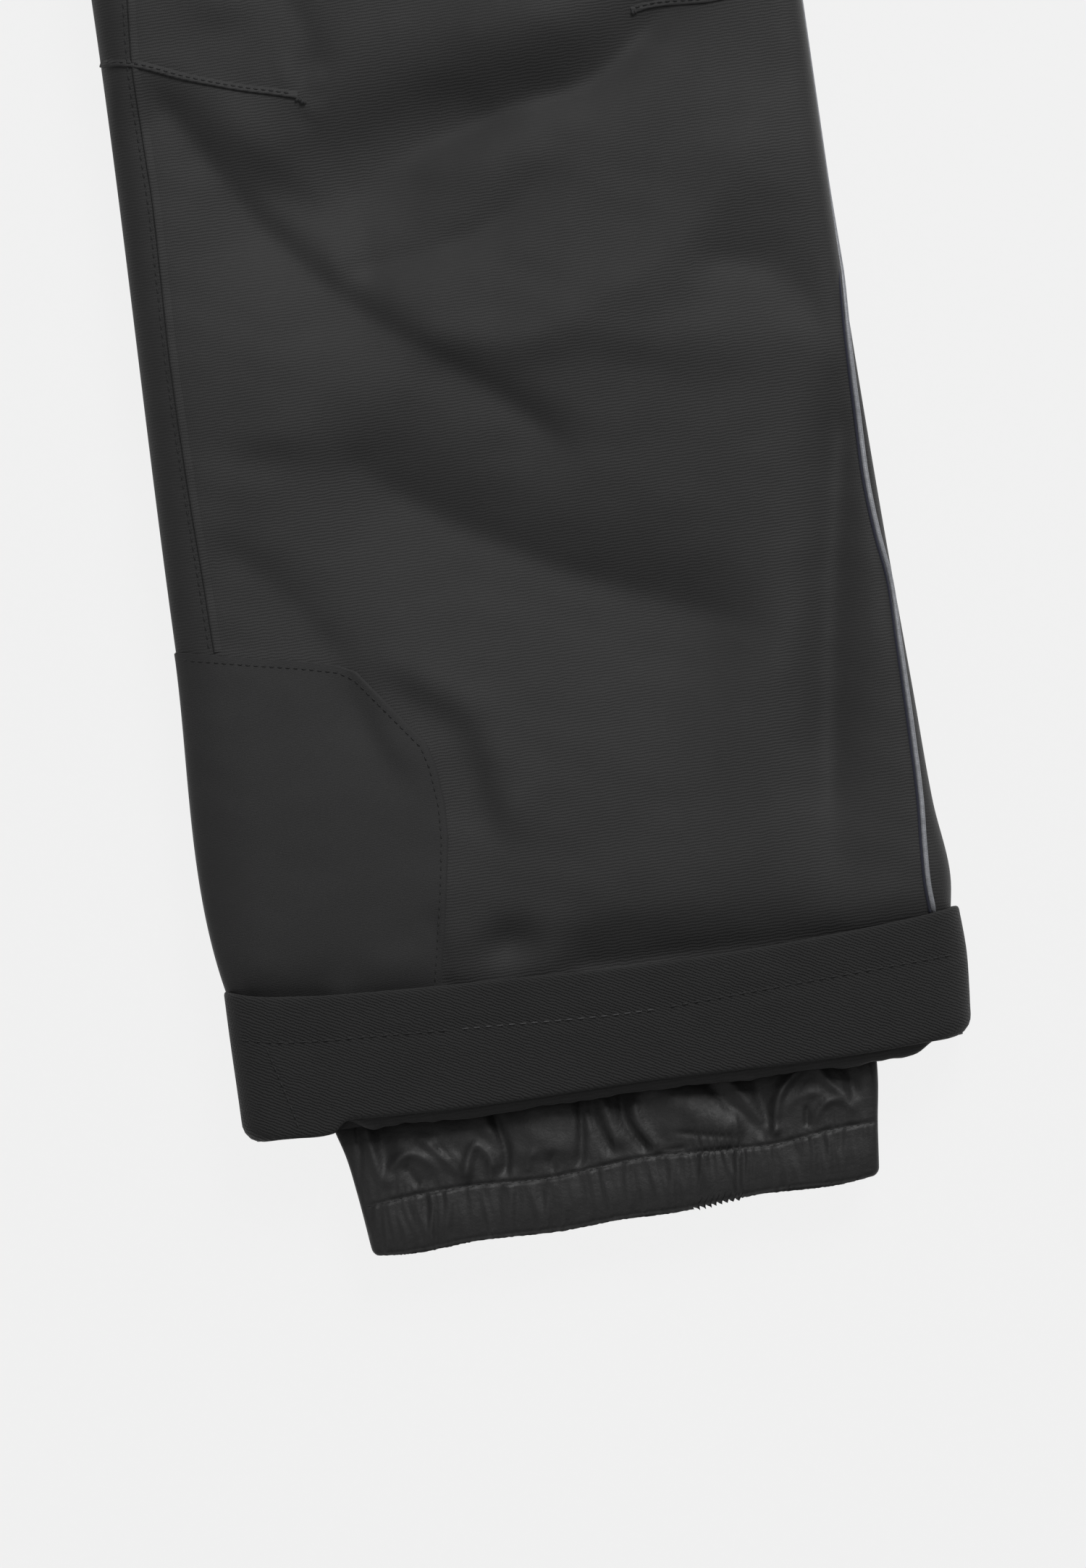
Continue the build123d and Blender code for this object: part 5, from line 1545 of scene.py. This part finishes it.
# ---------------------------------------------------------------- camera, lights and floor
def set_stage():
    """The camera straight above, the pale floor and three soft lights."""
    scene = bpy.context.scene
    scene.view_settings.view_transform = "Standard"
    target = (0.2061, -0.3053)
    camera = bpy.data.objects.new("camera", bpy.data.cameras.new("camera"))
    camera.data.lens, camera.data.sensor_width = 200.0, 36.0
    camera.data.clip_end = 50
    tall = 0.4765
    camera.location = (target[0], target[1], tall * camera.data.lens / camera.data.sensor_width)
    scene.collection.objects.link(camera)
    scene.camera = camera

    paper = Nodes("floor paper")
    speckle = paper.add("ShaderNodeTexCoord")
    tone = paper.ramp(paper.noise(speckle.outputs["Object"], 400.0), 0, 1, 0.990, 1.0)
    paper.shader.inputs["Base Color"].default_value = (0.02, 0.02, 0.02, 1)
    paper.join(paper.grey(tone), paper.shader.inputs["Emission Color"])
    paper.shader.inputs["Emission Strength"].default_value = 0.859
    paper.shader.inputs["Roughness"].default_value = 1.0
    paper.shader.inputs["Specular IOR Level"].default_value = 0.0
    half, low = 6000.0, -0.3
    corners = [(-half, -half, low), (half, -half, low), (half, half, low), (-half, half, low)]
    make_object("floor", corners, [(0, 1, 2, 3)], None, paper.material)

    world = bpy.data.worlds.new("studio")
    world.use_nodes = True
    world.node_tree.nodes["Background"].inputs[0].default_value = (0.90, 0.90, 0.90, 1)
    world.node_tree.nodes["Background"].inputs[1].default_value = 0.25
    scene.world = world
    for name, place, size, power in (
        ("key softbox", (0.77, 1.24, 1.43), 0.9, 50.0),
        ("fill softbox", (-1.2, -1.6, 1.3), 1.4, 7.0),
        ("overhead softbox", (0.1, -0.1, 2.6), 1.6, 7.0),
    ):
        lamp = bpy.data.lights.new(name, "AREA")
        lamp.size, lamp.energy = size, power
        light = bpy.data.objects.new(name, lamp)
        light.location = place
        aim = np.array([target[0], target[1], 0.0]) - np.array(place)
        light.rotation_euler = Vector(aim).to_track_quat("-Z", "Y").to_euler()
        scene.collection.objects.link(light)


set_stage()


def finish_piece(piece, slot, body, *nodes):
    """Attaches a piece to the body it rides on and hides the CAD parts it stands for; slot is not used."""
    if nodes:
        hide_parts(*nodes)
    if body:
        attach(piece, body)
    return piece


def dress(node, material):
    """Gives a CAD part that keeps its shape its finish."""
    mesh = frame["nodes"][node].data
    mesh.materials.clear()
    mesh.materials.append(material)


def blend_along_leg(piece, side, v_start, v_end):
    """Bakes a piece's transform into its mesh; the ends of its length of the leg are worked out but not used."""
    start, end = ((x * MM, y * MM, 0) for x, y in (to_row(side, 0, v) for v in (v_start, v_end)))
    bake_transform(piece)
    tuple(start)
    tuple(end)


def bend_knee(piece, side_name, side):
    """Bakes a piece's transform into its mesh, for the length of the leg around the knee's fold line."""
    blend_along_leg(piece, side, KNEE_V + 36, KNEE_V - 36)


def build_leg(side_name, side):
    """A lower leg's cloth, guard, hem, gaiter, piping, seams and stitches."""
    relief = front_relief if side > 0 else other_relief
    shin, cuff_body, gaiter_body = (f"{side_name}_{n}" for n in ("shin", "cuff", "gaiter"))
    variety = (1, 0, 0) if side > 0 else (-1, 3, 9)

    def top(u, v):
        return leg_top(u, v, relief)

    nodes = [f"{side_name}_{n}" for n in ("front_shin", "back_shin", "front_thigh", "back_thigh")]
    bend_knee(finish_piece(lower_leg(side_name, side, relief), "shell_fabric", None, *nodes), side_name, side)
    finish_piece(scuff_guard(side_name, side, relief), "guard_fabric", shin, f"{side_name}_scuff_guard")
    inner = finish_piece(hem_bridge(side_name, side), "facing_twill", None)
    blend_along_leg(inner, side, 33, 5)
    finish_piece(cuff(side_name, side), "facing_twill", cuff_body, f"{side_name}_cuff")
    finish_piece(hem_lip(side_name, side), "shell_fabric", cuff_body)
    nodes = [f"{side_name}_gaiter", f"{side_name}_gaiter_elastic"]
    finish_piece(gaiter(side_name, side, variety), "gaiter_nylon", gaiter_body, *nodes)
    cord, binding = piping(side_name, side, relief)
    finish_piece(cord, "reflective_piping", None, f"{side_name}_piping")
    finish_piece(binding, "shell_fabric", None)
    for piece in (cord, binding):
        bend_knee(piece, side_name, side)

    # inside leg seam, knee darts and their tacks
    inseam = [(float(curve(INSEAM, v)), v) for v in (148, 170, 200, 223, 240, 262, 286, 306, 326, 350, 375, 400)]
    dart = [(-106.0, 328), (-97, 326), (-80, 319), (-63.4, 313.3), (-55, 311), (-49, 309.2)]
    outer_dart = [(54.8, 319.5), (60, 320.2), (79.4, 319), (91, 320.2), (105.5, 323)]
    beside_inseam = [(a - 1.3, b) for a, b in inseam]
    for name, points, *rest in (
        ("inseam_edge", inseam[::-1], 2.6, 0.5),
        ("inseam_stitches", beside_inseam, 2.7),
        ("knee_dart_inner", dart, 2.4, 0.7),
        ("knee_dart_inner_stitches", [(a, b + 1.3) for a, b in dart], 2.3, 0.7, 0.5, 0.45),
        ("knee_dart_outer", outer_dart, 2.2, 0.6),
        ("knee_dart_outer_stitches", [(a, b + 1.3) for a, b in outer_dart], 2.3, 0.7, 0.5, 0.4),
        ("dart_tack", [(-49.5, 309.6), (-47.2, 308.0), (-45.8, 307.4)], 0.8, 1.3, 1.5, 0.2, 0.35),
        ("outer_dart_tack", [(54.2, 319.2), (56.6, 319.7)], 0.8, 1.3, 1.5, 0.2, 0.3),
    ):
        sewn = "stitches" in name or "tack" in name
        make, material = (stitches, THREAD) if sewn else (seam_strip, SHELL)
        piece = make(f"{side_name}_{name}", side, points, top, material, *rest)
        bend_knee(finish_piece(piece, "shell_fabric", None), side_name, side)

    row = stitches(
        f"{side_name}_guard_stitches", side, GUARD_STITCHES, top, THREAD, 2.4, 0.7, 0.4, 0.62, smooth=False,
    )
    finish_piece(row, "guard_fabric", shin)

    def hem_line(*places):
        return [(a, float(curve(CUFF_STITCH, a))) for a in places]

    for name, points, thread, *rest in (
        ("hem_stitches_inner", hem_line(-110, -100, -85, -70, -55, -45), THREAD, 3.5, 0.68, 0.55, 0.06),
        # the middle run of this one row of hem stitches is drawn in the pale thread: a painted highlight where the
        # thread catches the light
        ("hem_stitches_pale", hem_line(-44, -30, -10, 8, 18), PALE_THREAD_AND_PAINTED_HIGHLIGHT, 3.5, 0.62, 0.5, 0.12),
        ("hem_stitches_outer", hem_line(19, 40, 60, 80, 100, 110), THREAD, 3.5, 0.68, 0.55, 0.06),
        ("hem_seam_stitches", [(-101.4, 28.5), (-99, 19), (-95.7, 5), (-95, 1)], THREAD, 2.6, 0.68, 0.5, 0.05),
    ):
        row = stitches(f"{side_name}_{name}", side, points, cuff_height, thread, *rest)
        finish_piece(row, "facing_twill", cuff_body)

    def gaiter_top(u, v):
        return gaiter_front(u, v, variety)

    seam = [(min(max(a, -79.6), 76.4), b) for a, b in GAITER_SEAM]
    name = f"{side_name}_gaiter_stitches"
    row = stitches(name, side, seam, gaiter_top, THREAD, 2.0, 0.6, 0.34, 0.02, 0.2)
    finish_piece(row, "gaiter_nylon", gaiter_body)


def bend_hip(piece, side_name):
    """Bakes a piece's transform into its mesh."""
    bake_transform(piece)


def sew_zip(prefix, place, length, outer):
    """A zip's tapes and teeth, and the finish of its slider and pull."""
    tapes = zip_tape_pair(f"{prefix}_tape", place, length, outer)
    finish_piece(tapes[0], "zip_tape", "seat", f"{prefix}_tapes")
    finish_piece(tapes[1], "zip_tape", "seat")
    finish_piece(coil_teeth(f"{prefix}_coil", place, length), "zip_coil", "seat", f"{prefix}_teeth")
    for part in ("slider", "pull"):
        dress(f"{prefix}_{part}", SLIDER)


def sew_row(name, side, points, height, *rest, slot="shell_fabric", body="seat", thread=THREAD, smooth=True):
    """A row of stitches at row coordinates, attached to its body; its slot is not used."""
    row = stitches(name, side, points, height, thread, *rest, smooth=smooth, frame=row_frame)
    finish_piece(row, slot, body)


def build_trunk(side_name, side):
    """One side's seat and thigh cloth, pocket, front waistband, adjuster, seams and stitches."""
    seed = 1 if side > 0 else 0
    piece = trunk(side_name, side, seed)
    finish_piece(piece, "shell_fabric", None, f"{side_name}_front_hip", f"{side_name}_back_hip")
    bend_hip(piece, side_name)
    top = lambda x, y: trunk_front(x, y, seed)

    # inside leg seam up to the crotch, in the front's cloth
    inner = [trunk_place(np.array([float(s)]), np.array([0.0])) for s in (0, 40, 80, 120, 150, 170, 186)]
    inseam = [(float(x[0]) + 11.6, float(y[0]) + 1.5) for x, y in inner]
    beside, name = [(a - 1.3, b) for a, b in inseam], f"{side_name}_thigh_inseam"
    for row in (
        seam_strip(f"{name}_edge", side, inseam[::-1], top, SHELL, 2.6, 0.5, frame=row_frame),
        stitches(f"{name}_stitches", side, beside, top, THREAD, 2.7, frame=row_frame),
    ):
        bend_hip(finish_piece(row, "shell_fabric", None), side_name)

    place, length = pocket_place(side, 31.6)
    dx, dy = (POCKET_TOP[0] - POCKET_BOTTOM[0]) / length, (POCKET_TOP[1] - POCKET_BOTTOM[1]) / length

    def off(across, along):
        return POCKET_BOTTOM[0] + dx * along + dy * across, POCKET_BOTTOM[1] + dy * along - dx * across

    wave = lambda x, y: 0.35 * np.sin(y * 0.11) + 0.12 * grain(x, y, 7, 131)
    for name, across in (("inner", -6.6), ("outer", 6.6)):
        low, high = across - 1.9, across + 1.9
        rows = [(y, low, high, 1.5, 3.7) for y in np.linspace(-3, length + 3, 70)]
        welt = slab(f"{side_name}_pocket_welt_{name}", rows, SHELL, place, wave, 12, 1.0, flip=side < 0)
        finish_piece(welt, "shell_fabric", "seat")
    for name, points in (
        ("inner", [off(-10.0, -6), off(-10.0, length + 6)]),
        ("outer", [off(10.0, -6), off(10.0, length + 6)]),
        ("foot", [off(-10.0, -6), off(10.0, -6)]),
        ("head", [off(-10.0, length + 6), off(10.0, length + 6)]),
    ):
        sew_row(f"{side_name}_pocket_stitches_{name}", side, points, top, 2.6)
    sew_zip(f"{side_name}_pocket", place, length, 5.6)
    corner = [14, 8, 4, 2, 1]
    cuts = corner + [0] * 16 + corner[::-1]
    bag_rows = [(y, -86 + cut, 10 - cut, -9.6, -5.0) for y, cut in zip(np.linspace(-25, length + 1, 26), cuts)]
    sag = lambda x, y: 0.7 * grain(x, y, 34, 141)
    bag = slab(f"{side_name}_pocket_bag_cloth", bag_rows, LINING, place, sag, 30, 2.0, flip=side < 0)
    finish_piece(bag, "lining_fabric", "seat", f"{side_name}_pocket_bag")

    # waistband, its stitching and the adjuster strap
    start = 34.4 if side > 0 else 16.8
    path = band_path(start, "front")
    band = band_piece(f"{side_name}_waistband_front", side, path, FRONT_BAND, "front", SHELL, 5 + seed)
    finish_piece(band, "shell_fabric", "seat", f"waistband_front_{side_name}")
    face = lambda x, y: BAND_HIGH + band_relief(x * side, y - WAIST_Y, FRONT_BAND, "front", 5 + seed)
    for name, y in BAND_SEAMS:
        sew_row(f"{side_name}_waistband_stitches_{name}", side, [(start + 1, y), (164, y)], face, 2.8)
    tab_y = WAIST_Y + 18.5
    outline = [(151.6, 9.5)] + [(x, 9.5) for x in np.arange(148, 96, -2.2)]
    outline += [(95, 9.4), (92.5, 8.9), (90.5, 7.9), (89.2, 6.4), (88.4, 4.4), (88, 2.6)]
    tab_rows = [(x, tab_y - half, tab_y + half, BAND_HIGH + 0.95, BAND_HIGH + 2.35) for x, half in outline]
    turned = lambda across, along, z: (side * along, across, z)
    rib = lambda x, y: 0.12 * np.sin((x - tab_y) * 2 * np.pi / 1.9)
    strap = slab(f"{side_name}_adjuster_strap", tab_rows, WEBBING, turned, rib, 26, 0.5, flip=side > 0)
    finish_piece(strap, "adjuster_webbing", f"{side_name}_adjuster", f"{side_name}_adjuster_tab")
    strap_top = lambda x, y: np.full(np.shape(x), BAND_HIGH + 2.35)
    for name, points in (
        ("edge_low", [(150, tab_y - 7.6), (97, tab_y - 7.6)]),
        ("edge_high", [(150, tab_y + 7.6), (97, tab_y + 7.6)]),
        ("end", [(96, tab_y - 7), (96, tab_y + 7)]),
    ):
        sew_row(
            f"{side_name}_adjuster_stitches_{name}", side, points, strap_top, 2.4, 0.7, 0.5, 0.2,
            slot="adjuster_webbing", body=f"{side_name}_adjuster",
        )
    hook_rows = [(x, tab_y - 8, tab_y + 8, BAND_HIGH + 0.55, BAND_HIGH + 0.95) for x in np.linspace(91, 117, 14)]
    hooks = slab(f"{side_name}_adjuster_hook_patch", hook_rows, HOOKS, turned, None, 14, 0.2, flip=side < 0)
    finish_piece(hooks, "hook_and_loop", f"{side_name}_adjuster", f"{side_name}_adjuster_hooks")
    patch_rows = [(x, tab_y - 10.5, tab_y + 10.5, BAND_HIGH + 0.1, BAND_HIGH + 0.55) for x in np.linspace(72, 118, 20)]
    pile = lambda x, y: 0.06 * grain(x, y, 3, 151)
    patch = slab(f"{side_name}_loop_patch", patch_rows, HOOKS, turned, pile, 18, 0.25, flip=side < 0)
    root_rows = [(x, tab_y - 9.5, tab_y + 9.5, BAND_HIGH, BAND_HIGH + 2.35) for x in np.linspace(152.3, 160, 6)]
    root = slab(f"{side_name}_adjuster_root", root_rows, WEBBING, turned, rib, 26, 0.5, flip=side < 0)
    stands_for = ("adjuster_patches",) if side > 0 else ()
    finish_piece(patch, "hook_and_loop", "seat", *stands_for)
    finish_piece(root, "adjuster_webbing", "seat")

    # quilted leg linings
    leg_shell = lambda u, v: leg_top(u, v, front_relief if seed else other_relief)
    for body, v0, v1, upper, shell in (("thigh", 4.0, 172.0, True, top), ("shin", 62.0, KNEE_V - 3, False, leg_shell)):
        lining = leg_quilt_tube(f"{side_name}_{body}_quilting", side, v0, v1, upper, shell)
        finish_piece(lining, "lining_fabric", f"{side_name}_{body}", f"{side_name}_{body}_lining")


def build_fly():
    """The fly's flap, guard, zip, stitches and the waist tab over it."""
    both = lambda x, y: np.where(x >= 0, trunk_front(np.abs(x), y, 1), trunk_front(np.abs(x), y, 0))
    stitch_y = CROTCH_Y + 81.0
    curve_in = [
        (36.2, WAIST_Y - 1), (36.2, 330), (36.0, 300), (32.2, 285), (22.5, 274.5), (10, stitch_y),
        (2.2, stitch_y - 1.4),
    ]
    for name, shift in (("outer", 0.0), ("inner", 2.6)):
        points = [(x + shift * 0.9, y - shift) if k > 2 else (x + shift, y) for k, (x, y) in enumerate(curve_in)]
        sew_row(f"fly_stitches_{name}", 1, points, both, 2.6)
    sew_row("centre_front_stitches", 1, [(1.9, 214), (1.9, 240), (1.9, stitch_y - 4)], both, 2.6)
    sew_row("fly_tack", 1, [(3.4, 268.2), (8.4, 267.0)], both, 0.8, 1.3, 2.2, 0.25, 0.3)

    place = lambda across, along, z: (across, along + CROTCH_Y + 94.0, z + 30.9)
    sew_zip("fly", place, 108.0, 13.2)
    dress("snap_cap", SNAP)
    dress("snap_stud", SNAP)

    guard_rows = rounded_rows(CROTCH_Y + 88, WAIST_Y, -20, 24, 27.6, 29.2, (10, 10, 0, 0))
    guard = slab("fly_guard", guard_rows, TWILL, None, None, 24, 0.7)
    finish_piece(guard, "facing_twill", "seat", "fly_underlap")

    bottom, bend = CROTCH_Y + 84.0, 26.0
    rows = []
    rounded = np.linspace(bottom + 0.2, bottom + bend, 16)
    straight = np.linspace(bottom + bend + 3, WAIST_Y - 0.5, 40)
    for y in np.concatenate([rounded, straight]):
        below = max(bottom + bend - y, 0)
        rows.append((y, -14.0, 33.5 - bend + math.sqrt(bend**2 - below**2), 35.7, 37.2))

    def droop(x, y, z):
        edge = np.minimum(np.minimum(x + 14.0, 33.7 - x), y - bottom)
        fall = np.exp(-np.clip(edge, 0, None) / 3.0)
        wave = 0.16 * grain(x, y, 24, 161)
        return x, y, z - 0.95 * fall + wave * (1 - fall)

    flap = slab("fly_flap_cloth", rows, SHELL, droop, None, 40, 0.75)
    finish_piece(flap, "shell_fabric", "fly_overlap", "fly_flap")
    flap_top = lambda x, y: 37.2 + 0.16 * grain(x, y, 24, 161) - 0.95 * np.exp(-(x + 14.0) / 3.0)
    for name, x in (("edge", -11.9), ("second", -8.4)):
        points = [(x, WAIST_Y - 3), (x, bottom + 4)]
        sew_row(f"fly_flap_stitches_{name}", 1, points, flap_top, 2.6, 0.7, 0.42, 0.15, body="fly_overlap")

    def tab_puff(x, y):
        up = y - WAIST_Y
        puff = 0.3 * np.sin(np.pi * np.clip(up / 37, 0, 1))
        return puff - 0.3 * np.exp(-(((up - 3.5) / 0.9) ** 2)) - 0.3 * np.exp(-(((up - 33) / 0.9) ** 2))

    tab_rows = rounded_rows(WAIST_Y + 0.1, WAIST_Y + 36.9, -16, 33.6, 33.3, 37.3, (3, 0, 3, 0))
    tab = slab("waist_tab_cloth", tab_rows, SHELL, None, tab_puff, 30, 1.5)
    finish_piece(tab, "shell_fabric", "fly_overlap", "waist_tab")
    tab_top = lambda x, y: np.full(np.shape(x), 37.35)
    for name, points in (
        *((name, [(33, y), (-13.4, y)]) for name, y in BAND_SEAMS),
        ("end", [(-13.4, WAIST_Y + 4.5), (-13.4, WAIST_Y + 32)]),
    ):
        sew_row(f"waist_tab_stitches_{name}", 1, points, tab_top, 2.8, 0.7, 0.42, 0.1, body="fly_overlap")
    under_rows = rounded_rows(WAIST_Y + 0.2, WAIST_Y + 36.8, -19.0, 20, 29.5, 32.2, (0, 3, 0, 3))
    under = slab("waist_underlap", under_rows, TWILL, None, None, 24, 1.0)
    finish_piece(under, "facing_twill", "seat")


def build_waist():
    """The gathered back waistband, its facing and blank label, the belt loops and the seat's quilting."""
    band = back_band("waistband_back_shell", 40.0, SHELL, 0.0, 2.6)
    finish_piece(band, "shell_fabric", "seat", "waistband_back", "waist_elastic")
    facing = back_band("waistband_back_facing", 39.0, TWILL, 3.0, 2.4, relief=False)
    finish_piece(facing, "facing_twill", "seat", "waistband_facing")
    middle = WAIST_Y + BACK_RISE + 20.0
    label_rows = [(y, -18, 18, 7.8, 8.3) for y in np.linspace(middle - 12, middle + 12, 14)]
    label = slab("waist_label_blank", label_rows, LABEL, None, lambda x, y: 0.1 * grain(x, y, 12, 171), 20, 0.25)
    finish_piece(label, "label_satin", "seat", "waist_label")
    hem = [(x, middle + y) for x, y in ((-16.6, -10.6), (16.6, -10.6), (16.6, 10.6), (-16.6, 10.6), (-16.6, -10.6))]
    label_top = lambda x, y: np.full(np.shape(x), 8.35)
    sew_row(
        "waist_label_stitches", 1, hem, label_top, 2.2, 0.7, 0.35, 0.05,
        slot="label_satin", thread=PALE_THREAD_AND_PAINTED_HIGHLIGHT, smooth=False,
    )

    for name, x, low_y, surface, up in (
        ("front_left", 60.0, WAIST_Y, BAND_HIGH, 1), ("front_right", -60.0, WAIST_Y, BAND_HIGH, 1),
        ("back_left", 96.0, WAIST_Y + BACK_RISE, BAND_LOW, -1),
        ("back_middle", 0.0, WAIST_Y + BACK_RISE + 1.5, BAND_LOW, -1),
        ("back_right", -96.0, WAIST_Y + BACK_RISE, BAND_LOW, -1),
    ):
        rows = [(y, x - 4.5, x + 4.5, 0.0, 1.25) for y in np.linspace(low_y + 1, low_y + 36, 36)]

        def arch(px, py, pz, low_y=low_y, surface=surface, up=up):
            share = np.clip((py - low_y - 1) / 35, 0, 1)
            lift = 0.55 * smooth_step(share / 0.14) * smooth_step((1 - share) / 0.14)
            return px, py, surface + up * (lift + pz)

        rib = lambda px, py: 0.12 * np.cos((px - px.mean()) * 1.4)
        loop = slab(f"belt_loop_{name}", rows, SHELL, arch, rib, 12, 0.5, flip=up < 0)
        stands_for = ("belt_loops",) if name == "front_left" else ()
        finish_piece(loop, "shell_fabric", "seat", *stands_for)
    for face in ("front", "back"):
        lining = seat_quilt(f"{face}_seat_quilting", face)
        finish_piece(lining, "lining_fabric", "seat", f"{face}_seat_lining")


for side_name, side in SIDES:
    build_leg(side_name, side)
    build_trunk(side_name, side)
build_fly()
build_waist()

# each cloth piece: its name, the flat cut's width and length and area, and how it lies
SHEETS = [
    ("fly_guard", (0.044, 0.120), None, "laid"),
    ("fly_flap_cloth", (0.048, 0.120), None, "laid"),
    ("waist_tab_cloth", (0.050, 0.037), None, "laid"),
    ("waist_underlap", (0.039, 0.037), None, "laid"),
    ("waistband_back_shell", (0.400, 0.040), None, "gathered"),
    ("waistband_back_facing", (0.400, 0.039), None, "laid"),
    ("waist_label_blank", (0.036, 0.024), None, "laid"),
]
for side_name, side in SIDES:
    SHEETS += [
        (f"{side_name}_lower_leg", (0.440, 0.410), None, "laid"),
        (f"{side_name}_seat_and_thigh", (0.520, 0.420), 0.180, "laid"),
        (f"{side_name}_scuff_guard_cloth", (0.150, 0.150), 0.0208, "laid"),
        (f"{side_name}_turned_hem", (0.450, 0.056), None, "folded"),
        (f"{side_name}_hem_inner_sleeve", (0.450, 0.030), None, "folded"),
        (f"{side_name}_hem_lip", (0.185, 0.019), None, "folded"),
        (f"{side_name}_gaiter_cloth", (0.345, 0.100), None, "gathered"),
        (f"{side_name}_waistband_front", (0.150, 0.040), None, "laid"),
        (f"{side_name}_pocket_welt_inner", (0.010, 0.145), 0.0007, "folded"),
        (f"{side_name}_pocket_welt_outer", (0.010, 0.145), 0.0007, "folded"),
    ]
for name, flat, area, held in SHEETS:
    rests_on = ["floor"] if "leg" in name or "thigh" in name else []
